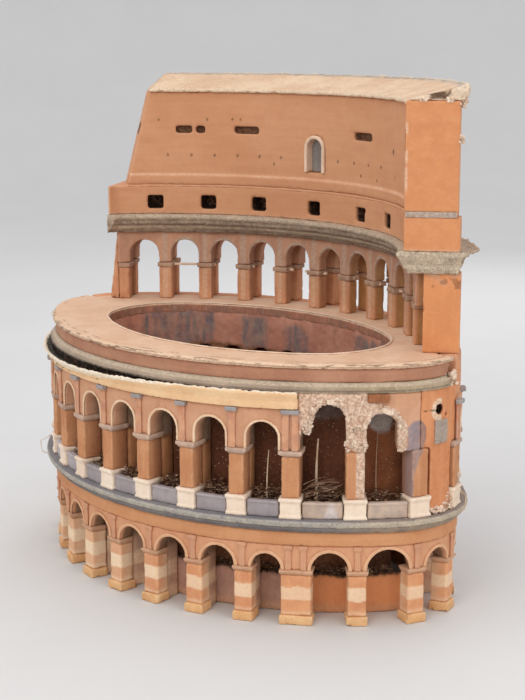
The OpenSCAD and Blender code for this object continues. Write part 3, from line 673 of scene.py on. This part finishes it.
EDITS = {"upper_arch_blocks": break_face, "drain_panel": break_face, "yellow_cornice": lower_rim,
         "ground_back_wall": ragged_top, "wall_coping": jag(-6, 0, 3.0, 9),
         "tall_cornice": jag(0, 8, 3.5, 8), "mortar_bed": fill_joint, "ground_plinths": stand_flat,
         "ground_radial_walls": stand_flat, "arena_floor": stand_flat,
         "attic_base_moulding": broken_tip, "attic_band_blocks": broken_tip}


# ---- paint ----
def hues(tones, scale=1):
    """Linear colours from everyday ones, which are hexadecimal and parted by spaces."""
    made = []
    for tone in tones.split():
        levels = [int(tone[k:k + 2], 16) * scale for k in (0, 2, 4)]
        made.append([((c / 255) / 12.92 if c <= 10 else ((c / 255 + 0.055) / 1.055) ** 2.4)
                     for c in levels] + [1.0])
    return made


ROUGH = 0.86


class Paint:
    """A procedural cement paint, built node by node in the object's own coordinates."""

    def __init__(self, name):
        self.material = bpy.data.materials.new(name)
        self.material.use_nodes = True
        self.tree = self.material.node_tree
        self.tree.nodes.clear()
        self.place = self.make("ShaderNodeTexCoord").outputs["Object"]
        self.wall = self.attribute("wall").outputs["Vector"]

    def make(self, kind):
        return self.tree.nodes.new(kind)

    def attribute(self, name):
        node = self.make("ShaderNodeAttribute")
        node.attribute_name = name
        return node

    def feed(self, socket, value):
        if isinstance(value, bpy.types.NodeSocket):
            self.tree.links.new(value, socket)
        else:
            socket.default_value = value

    def math(self, how, a, b=0.0):
        node = self.make("ShaderNodeMath")
        node.operation = how
        self.feed(node.inputs[0], a)
        self.feed(node.inputs[1], b)
        return node.outputs[0]

    def span(self, value, low, high, to_low=0.0, to_high=1.0):
        """Maps low..high to to_low..to_high, and no further."""
        node = self.make("ShaderNodeMapRange")
        self.feed(node.inputs["Value"], value)
        node.inputs["From Min"].default_value = low
        node.inputs["From Max"].default_value = high
        node.inputs["To Min"].default_value = to_low
        node.inputs["To Max"].default_value = to_high
        return node.outputs["Result"]

    def noise(self, size_mm, detail=3.0, stretch=None, shift=0.0):
        """Noise from about 0.25 to 0.75; stretch lengthens it along the wall, outward and up."""
        mapping = self.make("ShaderNodeMapping")
        self.tree.links.new(self.wall if stretch else self.place, mapping.inputs["Vector"])
        mapping.inputs["Location"].default_value = (shift, shift * 1.7, shift * 2.3)
        mapping.inputs["Scale"].default_value = [1 / s for s in stretch or (1, 1, 1)]
        node = self.make("ShaderNodeTexNoise")
        self.tree.links.new(mapping.outputs[0], node.inputs["Vector"])
        node.inputs["Scale"].default_value = 1 / (size_mm * MM)
        node.inputs["Detail"].default_value = detail
        node.inputs["Roughness"].default_value = 0.6
        return node.outputs["Fac"]

    def spots(self, size_mm, detail, shift, low, high, most=1.0):
        """Spots of noise, from nothing at low to most at high."""
        return self.span(self.noise(size_mm, detail, shift=shift), low, high, 0, most)

    def mix(self, amount, a, b, how="MIX"):
        node = self.make("ShaderNodeMix")
        node.data_type = "RGBA"
        node.blend_type = how
        self.feed(node.inputs[0], amount)
        self.feed(node.inputs[6], a)
        self.feed(node.inputs[7], b)
        return node.outputs[2]

    def mask(self, name, ragged=0.3):
        """A painted mark of the casting, made a little uneven."""
        uneven = self.span(self.noise(6, 3.0, shift=len(name) * 1.3), 0.35, 0.65, 1 - ragged, 1 + ragged)
        strength = self.math("MULTIPLY", self.attribute(name).outputs["Fac"], uneven)
        return self.math("MINIMUM", strength, 1.0)

    def finish(self, colour, bump_mm, speck):
        """Adds the sandy grain, the bump and the shader."""
        grain = self.noise(2.6, 2.0, shift=9.1)
        speckle = self.span(grain, 0.3, 0.7, 1 - speck, 1 + speck)
        grey = self.make("ShaderNodeCombineColor")
        for socket in grey.inputs:
            self.tree.links.new(speckle, socket)
        colour = self.mix(1.0, colour, grey.outputs[0], "MULTIPLY")
        bump = self.make("ShaderNodeBump")
        bump.inputs["Distance"].default_value = bump_mm * MM
        bump.inputs["Strength"].default_value = 0.9
        lumps = self.math("ADD", self.math("MULTIPLY", self.noise(8, 3.0, shift=4.2), 0.6),
                          self.math("MULTIPLY", grain, 0.4))
        self.tree.links.new(lumps, bump.inputs["Height"])
        shader = self.make("ShaderNodeBsdfPrincipled")
        self.tree.links.new(colour, shader.inputs["Base Color"])
        self.tree.links.new(bump.outputs[0], shader.inputs["Normal"])
        rough = self.span(self.noise(14, 2.0, shift=2.2), 0.3, 0.7, ROUGH - 0.08, ROUGH + 0.08)
        self.tree.links.new(rough, shader.inputs["Roughness"])
        shader.inputs["Specular IOR Level"].default_value = 0.25
        output = self.make("ShaderNodeOutputMaterial")
        self.tree.links.new(shader.outputs[0], output.inputs["Surface"])
        return self.material


def cement(name, tones, tint=None, bare=None, deep=None, patch=80, mottle=0.2, flecks=0.12, streak=0.16,
           lengthwise=False, speck=0.05, edge=0.4, hollow_shade=0.35, bump_mm=0.2, ragged=0.3):
    """Brushed paint on cement: two tones in patches, brush strokes, marks, worn edges, painted shade in hollows.

    The tones are the main one, the one it drifts to, a dark and a light one; tint and bare have two each.
    """
    main, other, dark, light = hues(tones)
    paint = Paint(name)
    colour = paint.mix(paint.spots(patch, 4.0, 0.0, 0.4, 0.6), main, other)
    if tint:
        second = paint.mix(paint.spots(26, 3.0, 2.7, 0.4, 0.6), *hues(tint))
        colour = paint.mix(paint.mask("tint", 0.15), colour, second)
    colour = paint.mix(paint.spots(24, 4.0, 1.3, 0.48, 0.7, mottle), colour, dark)
    colour = paint.mix(paint.spots(7, 3.0, 3.7, 0.58, 0.7, flecks), colour, light)
    runs = paint.noise(11, 4.0, (12, 2, 1) if lengthwise else (1, 1, 7), 5.1)
    colour = paint.mix(paint.span(runs, 0.5, 0.72, 0, streak), colour, dark)
    colour = paint.mix(paint.span(runs, 0.48, 0.3, 0, streak), colour, light)
    if bare:
        stone = paint.mix(paint.spots(5, 4.0, 8.2, 0.4, 0.62), *hues(bare))
        colour = paint.mix(paint.mask("bare", ragged), colour, stone)
    point = paint.make("ShaderNodeNewGeometry").outputs["Pointiness"]
    worn = paint.math("MULTIPLY", paint.span(point, 0.515, 0.56), paint.spots(16, 2.0, 6.6, 0.4, 0.6, edge))
    colour = paint.mix(worn, colour, light)
    # Painted shade in hollows: where pointiness is low, the colour goes towards a darker tone.
    colour = paint.mix(paint.span(point, 0.485, 0.43, 0, hollow_shade), colour, hues(tones, 0.6)[2])
    # deep colours the dark mark: painted shade in recesses, gaps and holes on most castings, and real cracks, seams
    # and dirt on some.
    if deep:
        colour = paint.mix(paint.mask("dark", 0.2), colour, hues(deep)[0])
    return paint.finish(colour, bump_mm, speck)


# ---- the paints, by name ----
MASONRY = "e8ceb6 bc967e"


# In each mix, deep is the colour of the dark mark: mostly painted shade in recesses, gaps and holes, and on some
# castings real cracks, seams and dirt.
MIXES = {
    "plinth_paint": dict(tones="ecbe8a e2aa74 be845c f8dcb4", speck=0.08),
    "shaft_paint": dict(tones="e4a477 d9956a be7c5c f2c498", tint="ecc49e e0b692", bare="fae0c0 f6d8b4",
        deep="967a62", ragged=0.08),
    "side_wall_paint": dict(tones="f0c6a0 e4b896 bc9278 f6d6b6", tint="d6ac8e c49c88", bare="f8debe f4d2ae",
        deep="8c705a"),
    "ground_impost_paint": dict(tones="d4a684 c69878 8c6c56 e4bc9a"),
    "ground_arch_paint": dict(tones="dea680 d69a74 b47c5e eabc98", deep="8c7058", edge=0.15),
    "ground_archivolt_paint": dict(tones="e8b68e deaa82 b28062 f2cca8"),
    "pilaster_paint": dict(tones="d8a07c ce9678 a87c64 e8bc98"),
    "back_wall_paint": dict(tones="ea9c68 de9262 bc7a54 f0b282", tint="be9684 b0887a", bare="e2ae84 ce9c7c",
        deep="463626", streak=0.1),
    "frieze_paint": dict(tones="d89c70 d09266 b47654 e4b288", streak=0.15, lengthwise=True, edge=0.15),
    "ledge_low_paint": dict(tones="86807e 747072 524e4e b2a89a", tint="a8947e 928070", bare="c4b8a0 a0968a",
        deep="58565c", lengthwise=True, speck=0.12),
    "ledge_paint": dict(tones="a09a98 8e8a8e 605c5c c8beae", tint="c4ae94 b09c8a", bare="d6ccb2 b6ac98",
        deep="68666e", lengthwise=True, speck=0.14),
    "pedestal_paint": dict(tones="fae6d0 f2dac2 ceb29a fef4e6", streak=0.12, mottle=0.12, edge=0.2),
    "parapet_paint": dict(tones="b0a6a6 a49a9c 827676 c8bebc", tint="d6bea8 c4ac9a", bare="e8dedc d4ccd0"),
    # The mauve tints of the second storey's piers, arches and walled-up bay are mostly the painted cast shadow on
    # the last front pier.
    "upper_shaft_paint": dict(tones="d0956b c68960 a66c4c e4ba92", tint="a68c86 9c8480", bare=MASONRY,
        deep="966244", streak=0.2),
    "upper_impost_paint": dict(tones="d0b09a bea08e 867062 e6d0ba"),
    "upper_cap_paint": dict(tones="a8a09e 9a9494 78706e c4bcb4", tint="dca27c ce8e6c"),
    "upper_arch_paint": dict(tones="d8a686 d09c7a b27c60 e6bc9c", tint="a69292 94868a", bare=MASONRY,
        deep="8c7662", edge=0.2),
    # The near-black deep colours of the entablature, the yellow rim and the grey moulding are painted shade in the
    # gap between rim and moulding.
    "entablature_paint": dict(tones="d89c76 cc8e6a a06e54 e8b894", bare=MASONRY, deep="1a1410"),
    "drain_panel_paint": dict(tones="e09a6c d48a5c a86848 ecba92", tint="a08076 967872",
        bare="f4e2ca d6b092", deep="2c1c14"),
    "cream_band_paint": dict(tones="f0d0ae e8c29e c49678 f8e2c6", edge=0.2),
    "radial_paint": dict(tones="d69c6e c68a5e 966446 e2b48a", tint="b49c84 a08a76", deep="4c3226"),
    "gallery_paint": dict(tones="965c3a 824c30 4c2e22 b88462", tint="d8cec6 bcb0a8", bare="c48e60 b07c54",
        deep="3e2620"),
    "yellow_paint": dict(tones="f6d0a2 eec294 d09e72 fce8c8", bare="faf0de e8d4b8", deep="1a1411",
        lengthwise=True, edge=0.2),
    "grey_moulding_paint": dict(tones="b4a08c a4907e 706256 d6c4ac", tint="b8a486 a08c72",
        bare="d4c2a8 baa892", deep="221c18", lengthwise=True, speck=0.1),
    "third_impost_paint": dict(tones="be987e a88670 745c4e dcbea2"),
    "pink_band_paint": dict(tones="be8c70 b48066 966652 d2a68a", lengthwise=True, edge=0.2),
    "deck_paint": dict(tones="e6c2a4 deb696 be9478 f0d4b8", tint="b0745c 966c5a", bare="ecd0b2 debe9e",
        deep="604436", streak=0.1, mottle=0.15),
    "rim_paint": dict(tones="ecd0b6 debea2 b08a74 f6e4d0", speck=0.1),
    "arena_paint": dict(tones="d0947c c0826c 926656 dcaa94", tint="928074 786a6c", bare="8e6040 704a32",
        deep="967460", streak=0.1, mottle=0.4, patch=50),
    "third_pier_paint": dict(tones="d69e78 ca8e6a 96664c e4bc98", tint="c6945c b6824c",
        bare="e4c0a0 d2ac8e", deep="8c5e3e"),
    "third_arch_paint": dict(tones="ce9c7e be8e74 886854 deb698", tint="c89662 b68658",
        bare="ceb6a0 b29c8a", deep="8c664c"),
    "end_column_paint": dict(tones="e29866 d89060 b8744e eeb688", tint="e09664 d88e5c",
        bare="e8c4a4 be967c", deep="603c2c", mottle=0.1, streak=0.1),
    # On the tall cornice, deep is painted shade under the projections. Besides the cut end's colour, bare carries
    # painted highlights on the lips.
    "tall_cornice_paint": dict(tones="b49e88 9c8876 706052 d8c6ac", bare="cab8a0 ac9a86", deep="705e50",
        lengthwise=True, patch=12, mottle=0.45, flecks=0.45, streak=0.35, speck=0.3, bump_mm=1.0),
    # On the tall wall, deep is painted shade in the openings and holes. Besides chips and pale lines, bare carries
    # the painted highlight along the step.
    "attic_paint": dict(tones="d49c75 ce946d ba7c5a deae8a", tint="da9464 d48e5f", bare="e6bc9c d8aa8a",
        deep="322018", patch=140, mottle=0.14, flecks=0.04, streak=0.18, lengthwise=True, speck=0.03,
        edge=0.3, hollow_shade=0.2, bump_mm=0.1),
    "painted_joint": dict(tones="d49c75 ce946d ba7c5a deae8a", bare="beaea0 9e8e82", lengthwise=True,
        bump_mm=0.3),
    # On the coping, deep is painted shade in the broken hollow.
    "coping_paint": dict(tones="e2c4a4 d8b494 b4947a f0dcc0", tint="beae9e 9a8e82", bare="e8d4ba d0b89e",
        deep="684e3c", lengthwise=True, speck=0.16, mottle=0.25, flecks=0.25, streak=0.08, bump_mm=0.6),
    "mortar_grey": dict(tones="b0a092 96887e 60544e d6c6b4", speck=0.2, bump_mm=1.0),
    "niche_grey": dict(tones="928c86 746e6c 4a4646 b0aaa2"),
    "rubble_paint": dict(tones="ecd2ba ceaa90 846656 faeedc", patch=12, mottle=0.5, flecks=0.4, speck=0.2,
        hollow_shade=0.9, bump_mm=1.0),
    "red_lintel_paint": dict(tones="b0724c 965e3e 644230 ce966e"),
    "soil": dict(tones="543c2c 423026 261c16 7c604a", streak=0, patch=14, mottle=0.5, flecks=0.5, speck=0.3,
        bump_mm=1.2),
    "dead_leaf": dict(tones="684834 4e362a 30221b ba987a", streak=0, patch=7, flecks=0.5, speck=0.2),
    "pale_leaf": dict(tones="ceb294 b08e70 785c48 ecd8be", streak=0, patch=9),
    "twig_bark": dict(tones="7c5c48 604636 362820 b69a80", streak=0, patch=20),
    "pale_twig": dict(tones="dec8aa c4a88a 8c705a f0e0c8", streak=0, patch=20),
}
FLOOR_TONES = "e0dfdd dedddb dad9d7 e3e2e0"

# ---- castings: node, voxel size, rounds of wear, roughness, chip depth (mm), paint, slot ----
CASTINGS = [
    ("arena_floor", 7, 2, 1.5, 0, "soil", "rough_cement"),
    ("ground_plinths", 2.8, 2, 1.0, 3, "plinth_paint", "cream_paint"),
    ("ground_piers", 2.8, 1, 0.7, 1.5, "shaft_paint", "orange_paint"),
    ("ground_radial_walls", 5, 1, 0.9, 1, "side_wall_paint", "mauve_paint"),
    ("ground_imposts", 2.4, 1, 0.6, 1.5, "ground_impost_paint", "grey_cement"),
    ("ground_arch_blocks", 3.2, 1, 0.6, 1, "ground_arch_paint", "orange_paint"),
    ("ground_archivolts", 1.4, 1, 0.4, 0.5, "ground_archivolt_paint", "cream_paint"),
    ("ground_pilasters", 1.8, 1, 0.5, 1, "pilaster_paint", "orange_paint"),
    ("ground_back_wall", 4, 1, 1.0, 1, "back_wall_paint", "mauve_paint"),
    ("gallery_floor", 6, 1, 1.4, 0, "soil", "dark_cement"),
    ("frieze_ring", 3.4, 1, 0.5, 1, "frieze_paint", "orange_paint"),
    ("ledge_bed_moulding", 2.4, 0, 0.5, 1, "ledge_low_paint", "grey_cement"),
    ("ledge_lip", 2.4, 0, 0.7, 2, "ledge_paint", "light_grey_paint"),
    ("pedestals", 2.2, 0, 0.5, 1.5, "pedestal_paint", "white_paint"),
    ("parapet_panels", 2.6, 0, 0.6, 1, "parapet_paint", "light_grey_paint"),
    ("upper_piers", 2.8, 1, 0.6, 1.5, "upper_shaft_paint", "orange_paint"),
    ("upper_radial_walls", 5, 1, 0.9, 1, "radial_paint", "buff_paint"),
    ("upper_imposts", 2.2, 0, 0.6, 1.5, "upper_impost_paint", "grey_cement"),
    ("upper_arch_blocks", 3, 1, 0.6, 1.5, "upper_arch_paint", "orange_paint"),
    ("upper_archivolts", 1.4, 1, 0.5, 0.8, "cream_band_paint", "cream_paint"),
    ("gallery_back_wall", 5, 1, 1.6, 0, "gallery_paint", "dark_cement"),
    ("entablature_core", 3.4, 1, 0.7, 1, "entablature_paint", "orange_paint"),
    ("yellow_cornice", 1.9, 0, 0.6, 1.5, "yellow_paint", "yellow_paint"),
    ("ruin_masonry", 1.7, 1, 3.6, 3, "rubble_paint", "bare_masonry"),
    ("ruin_lintel", 1.8, 2, 3.0, 3, "red_lintel_paint", "orange_paint"),
    ("drain_panel", 2.6, 1, 1.0, 2, "drain_panel_paint", "pink_paint"),
    ("plaster_patch", 1.4, 1, 1.2, 2, "mortar_grey", "grey_cement"),
    ("attic_base_moulding", 2.6, 0, 0.6, 1, "grey_moulding_paint", "grey_cement"),
    ("opening_rim", 1.1, 1, 0.5, 1, "rim_paint", "cream_paint"),
    ("third_piers", 2.8, 1, 0.6, 1.5, "third_pier_paint", "orange_paint"),
    ("third_imposts", 2.2, 1, 0.8, 2, "third_impost_paint", "grey_cement"),
    ("third_arch_blocks", 3, 1, 0.8, 1.5, "third_arch_paint", "orange_paint"),
    ("third_link_bars", 1.4, 1, 0.8, 1, "rim_paint", "rough_cement"),
    ("third_buttress", 3, 1, 1.0, 3, "third_pier_paint", "orange_paint"),
    ("end_column", 2.6, 0, 0.6, 3, "end_column_paint", "orange_paint"),
    ("tall_cornice", 2.6, 0, 1.5, 2.5, "tall_cornice_paint", "rough_cement"),
    ("attic_lower_course", 3, 0, 0.4, 1.5, "attic_paint", "tan_paint"),
    ("attic_upper_wall", 3, 0, 0.4, 1.5, "attic_paint", "tan_paint"),
    ("mortar_bed", 1.4, 0, 0.4, 0.5, "painted_joint", "rough_cement"),
    ("niche_frame", 1.6, 1, 0.5, 2, "rim_paint", "cream_paint"),
    ("niche_back", 2, 1, 0.6, 0, "niche_grey", "grey_cement"),
    ("wall_coping", 2.8, 1, 0.8, 3, "coping_paint", "cream_paint"),
    ("outer_pilasters", 2.2, 1, 0.7, 1, "pilaster_paint", "orange_paint"),
    ("outer_corbels", 1.8, 1, 0.8, 2, "cream_band_paint", "cream_paint"),
]


def cast(name, mesh, voxel, wear, rough, chip, paint, seed, nodes):
    """One weathered casting that stands for some CAD nodes."""
    co, quads = voxel_arrays(mesh, voxel)
    co = weather(co, quads, wear, rough, chip, seed)
    place = Place(co, quads)
    marks = MARKS[nodes[0]](place) if nodes[0] in MARKS else {}
    if nodes[0] in EDITS:
        co = co + EDITS[nodes[0]](place, marks)
    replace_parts(piece_from(name, co, quads, PAINTS[paint], marks), *nodes)


def ring(o, shift, corners, s_range, steps=240):
    """A plain ring along an oval that closes gaps between blocks before they are cast as one."""
    co, faces = [], []
    for k in range(steps + 1):
        s = s_range[0] + (s_range[1] - s_range[0]) * k / steps
        co += [(point(o, s, d, z) + Vector(shift))[:] for d, z in corners]
    for k in range(steps):
        for a in range(4):
            b = (a + 1) % 4
            faces.append((4 * k + a, 4 * k + b, 4 * k + 4 + b, 4 * k + 4 + a))
    faces += [(3, 2, 1, 0), (4 * steps, 4 * steps + 1, 4 * steps + 2, 4 * steps + 3)]
    mesh = bpy.data.meshes.new("ring")
    mesh.from_pydata(co, [], faces)
    return mesh


def joined(*meshes):
    """Several meshes as one, so that a remesh merges them."""
    bm = bmesh.new()
    for mesh in meshes:
        bm.from_mesh(mesh)
        bpy.data.meshes.remove(mesh)
    bmesh.ops.recalc_face_normals(bm, faces=bm.faces)
    whole = bpy.data.meshes.new("whole")
    bm.to_mesh(whole)
    bm.free()
    return whole


def make_castings():
    """Replaces each CAD node with a weathered casting of the same shape."""
    for k, (node, voxel, wear, rough, chip, paint, slot) in enumerate(CASTINGS):
        cast(node + "_cast", raw_mesh(node), voxel, wear, rough, chip, paint, 17 * k, [node])
    front = (-1292, 35.5)
    filler = ring(MAIN, (0, 0, 0), ((-40, 477), (-6, 481), (-6, DECK_TOP), (-40, DECK_TOP)), front)
    deck = joined(raw_mesh("deck_slab"), raw_mesh("attic_coping"), filler)
    cast("deck_cast", deck, 2.8, 1, 0.6, 2, "deck_paint", 901, ["deck_slab", "attic_coping"])
    filler = ring(MAIN, (0, 0, 0), ((-34, 456), (-7.7, 456), (-7.7, 479), (-34, 479)), front)
    band = joined(raw_mesh("attic_band_blocks"), filler)
    cast("attic_band_cast", band, 2.6, 0, 0.5, 1, "pink_band_paint", 903,
         ["attic_band_blocks"])
    filler = ring(PIT, PIT_AT, ((1, 404), (7, 404), (7, 480), (1, 480)), (0, 2 * PIT[5]))
    pit = joined(raw_mesh("arena_wall"), raw_mesh("arena_arcade"), filler)
    cast("arena_cast", pit, 3.4, 1, 1.4, 2, "arena_paint", 907,
         ["arena_wall", "arena_arcade"])
    cast("upper_pilasters_cast", raw_mesh("upper_pilasters"), 1.8, 0, 0.5, 1, "upper_cap_paint",
         905, ["upper_pilasters"])


def paint_plain_nodes():
    """The steel dowels keep their CAD shape."""
    slots = NODES["dowels"].data.materials
    slots.clear()
    slots.append(PAINTS["niche_grey"])


# ---- rubble, leaves and twigs ----
def ball():
    """A small sphere of triangles as arrays, to be knocked into stones and leaves."""
    bm = bmesh.new()
    bmesh.ops.create_icosphere(bm, subdivisions=2, radius=1)
    co = np.array([v.co[:] for v in bm.verts])
    tris = np.array([[v.index for v in f.verts] for f in bm.faces])
    bm.free()
    return co, tris


def lumps(name, items, paint, slot, seed, rough=0.28):
    """Many knocked-about stones or leaves as one piece; an item is a place and three half sizes."""
    rng = random.Random(seed)
    base, tris = ball()
    all_co, all_tris = [], []
    for k, (centre, size) in enumerate(items):
        angles = [rng.uniform(-0.5, 0.5), rng.uniform(-0.5, 0.5), rng.uniform(0, 6.3)]
        turn = np.array(Euler(angles).to_matrix())
        bumps = 1 + rough * noise(base * 4 * MM + k * 0.037, 2.6, seed)
        co = (base * bumps[:, None]) * np.array(size) * MM
        all_co.append(co @ turn.T + np.array(centre))
        all_tris.append(tris + k * len(base))
    piece_from(name, np.concatenate(all_co), np.concatenate(all_tris), PAINTS[paint])


def twigs(name, lines, paint, seed):
    """Thin bent sticks as one piece; each line is two ends, a half thickness and a sag, in mm."""
    rng = random.Random(seed)
    sides, rings = 6, 7
    co, tris = [], []
    for start, end, half, sag in lines:
        start, end = np.array(start), np.array(end)
        axis = (end - start) / np.linalg.norm(end - start)
        side = np.cross(axis, (0.3, 0.2, 0.9))
        side /= np.linalg.norm(side)
        up = np.cross(axis, side)
        first = len(co)
        for k in range(rings):
            t = k / (rings - 1)
            middle = start + (end - start) * t
            middle = middle + up * sag * MM * math.sin(math.pi * t) + side * rng.uniform(-0.4, 0.4) * half * MM
            girth = half * MM * (1 - 0.45 * t) * rng.uniform(0.85, 1.1)
            for a in range(sides):
                angle = 2 * math.pi * a / sides
                co.append(middle + girth * (math.cos(angle) * side + math.sin(angle) * up))
        for k in range(rings - 1):
            for a in range(sides):
                b = (a + 1) % sides
                here, there = first + k * sides, first + (k + 1) * sides
                tris += [(here + a, here + b, there + b), (here + a, there + b, there + a)]
        for a in range(1, sides - 1):
            last = first + (rings - 1) * sides
            tris += [(first, first + a + 1, first + a), (last, last + a, last + a + 1)]
    piece_from(name, np.array(co), np.array(tris), PAINTS[paint])


def spread(rng, count, s, d, z, size, thin=1.0):
    """Places and sizes of lumps strewn over ranges along, outward from and up the wall, in mm."""
    items = []
    for _ in range(count):
        r = rng.uniform(*size)
        items.append((point(MAIN, rng.uniform(*s), rng.uniform(*d), rng.uniform(*z))[:],
                      (r * rng.uniform(0.7, 1.3), r * rng.uniform(0.7, 1.2), r * thin * rng.uniform(0.6, 1.1))))
    return items


def end_point(x, y, z):
    """A place in the end block's frame, in metres."""
    return (MAIN[0] * MM + ((x + MAIN[2]) * math.cos(CUT) - y * math.sin(CUT)) * MM,
            ((x + MAIN[2]) * math.sin(CUT) + y * math.cos(CUT)) * MM, z * MM)


def make_rubble():
    """Broken masonry: the lost capital, the hanging lumps, the heap by the drain and the broken end."""
    rng = random.Random(3)
    items = spread(rng, 100, (-194, -156), (-4, 6), (331, 352), (2, 4.4))
    items += spread(rng, 56, (-188, -162), (-2, 6), (350, 380), (1.8, 4))
    items += spread(rng, 60, (-98, -84), (-6, 5), (331, 378), (1.8, 4))
    items += spread(rng, 50, (-270, -254), (-4, 5), (362, 398), (1.8, 3.8))
    for middle, half, spring in RUINS:
        for k in range(80):
            angle = math.pi * rng.uniform(0.02, 0.98)
            r = half + rng.uniform(0, 12)
            spot = point(MAIN, middle + r * math.cos(angle), rng.uniform(0, 5),
                         min(spring + r * math.sin(angle), 432))
            size = rng.uniform(1.6, 3.8)
            items.append((spot[:], (size, size * rng.uniform(0.7, 1.2), size * rng.uniform(0.7, 1.1))))
    lumps("broken_masonry", items, "rubble_paint", "bare_masonry", 5)
    items = spread(rng, 60, (-34, 30), (-6, 8), (205, 216), (2.5, 5.5), 0.8)
    items += spread(rng, 16, (0, 34), (-8, 3), (216, 236), (2.5, 5))
    items += spread(rng, 26, (14, 40), (-12, 4), (428, 462), (2.5, 5.5))
    lumps("tip_rubble", items, "rubble_paint", "rough_cement", 7)
    items = []
    for _ in range(30):
        r = rng.uniform(1.6, 3.6)
        items.append((end_point(rng.choice((rng.uniform(-84, -64), rng.uniform(-34, -20))), rng.uniform(-49, -45),
                                rng.uniform(945, 951)), (r, r, r * 0.8)))
    for _ in range(26):
        r = rng.uniform(2, 4)
        items.append((end_point(rng.uniform(-10, 1), rng.uniform(-48, -20), rng.uniform(936, 966)), (r, r, r)))
    for _ in range(12):
        r = rng.uniform(2, 4)
        items.append((end_point(rng.uniform(-10, -2), rng.uniform(-48, -38), rng.uniform(866, 886)), (r, r, r)))
    lumps("end_rubble", items, "rubble_paint", "rough_cement", 9)


def make_litter():
    """Leaves and twigs blown into the bays, dirt on the low back wall, threads of old vine."""
    rng = random.Random(11)
    soil, leaves, pale, sticks, dust = [], [], [], [], []
    for i in range(12):
        low, high = UPPER[i] + 20, UPPER[i + 1] - 20
        middle = (low + high) / 2
        tall = (30, 34, 40, 46, 40, 36, 30, 30, 32, 34, 34, 26)[i]
        soil += spread(rng, 26, (low, high), (-62, -14), (206, 206 + tall * 0.6), (8, 15), 0.5)
        leaves += spread(rng, 110, (low, high), (-62, -10), (228, 206 + tall + 12), (1.8, 4.2), 0.2)
        pale += spread(rng, 26, (low, high), (-60, -8), (232, 206 + tall + 16), (0.9, 2.2), 0.3)
        for _ in range(7):
            s, z = rng.uniform(low, high), rng.uniform(232, 206 + tall + 8)
            sticks.append((point(MAIN, s - rng.uniform(8, 20), rng.uniform(-40, -8), z)[:],
                           point(MAIN, s + rng.uniform(8, 20), rng.uniform(-50, -8), z + rng.uniform(-4, 14))[:],
                           rng.uniform(0.6, 1.2), rng.uniform(-3, 3)))
        dust += spread(rng, 60, (low, high), (-70.2, -68.4), (250, 385), (0.5, 1.1))
        if i > 4:
            low, high = PIERS[i] + 20, PIERS[i + 1] - 20
            soil += spread(rng, 20, (low, high), (-78, -72), (75, 79), (3.5, 6), 0.5)
            leaves += spread(rng, 70, (low, high), (-78, -71), (80, 90), (1.3, 3), 0.3)
            pale += spread(rng, 20, (low, high), (-77, -71), (80, 94), (0.8, 1.8), 0.4)
    for k in range(30):
        s = rng.uniform(-272, -232)
        z = 236 + rng.uniform(0, 30)
        sticks.append((point(MAIN, s, rng.uniform(-24, -6), z)[:],
                       point(MAIN, s + rng.uniform(18, 48), rng.uniform(-34, -8), z + rng.uniform(-4, 16))[:],
                       rng.uniform(0.6, 1.4), rng.uniform(-3, 3)))
    lumps("dirt_heaps", soil, "soil", "dark_cement", 21)
    lumps("dead_leaves", leaves, "dead_leaf", "dark_cement", 23)
    lumps("pale_leaves", pale, "pale_leaf", "bare_masonry", 25)
    lumps("cobweb_dust", dust, "pale_leaf", "bare_masonry", 31)
    twigs("twig_heaps", sticks, "twig_bark", 27)
    straw = [(point(MAIN, -247, -50, 214)[:], point(MAIN, -245, -46, 342)[:], 3.2, 2),
             (point(MAIN, -126, -60, 216)[:], point(MAIN, -124, -64, 352)[:], 0.9, 2),
             (point(MAIN, -342, -30, 216)[:], point(MAIN, -340, -34, 320)[:], 1.6, 2),
             (point(MAIN, -140, -62, 84)[:], point(MAIN, -146, -60, 140)[:], 1.4, 3)]
    loops = ((-1010, 26, 196, 236, 1.0), (34, 24, 196, 244, 1.1))
    for s, out, low, high, half in loops:
        spots = [(s - 3, 12, high), (s, out + 6, (low + high) / 2 + 10), (s + 2, out + 4, low + 8),
                 (s, 14, low)]
        for a, b in zip(spots, spots[1:]):
            straw.append((point(MAIN, *a)[:], point(MAIN, *b)[:], half, 1))
    for _ in range(16):
        s = rng.uniform(-1080, -900)
        straw.append((point(MAIN, s, rng.uniform(-14, 0), 489)[:],
                      point(MAIN, s + rng.uniform(-30, 30), rng.uniform(-10, 6), rng.uniform(489, 500))[:], 0.7, 3))
    twigs("old_vine", straw, "pale_twig", 29)


make_camera()
floor = make_studio()
PAINTS = {name: cement(name, **mix) for name, mix in MIXES.items()}
floor.data.materials.append(cement("floor_paint", FLOOR_TONES, patch=600, mottle=0.1, flecks=0, streak=0,
                                   speck=0.01, edge=0, hollow_shade=0, bump_mm=0.02))
make_castings()
paint_plain_nodes()
make_rubble()
make_litter()
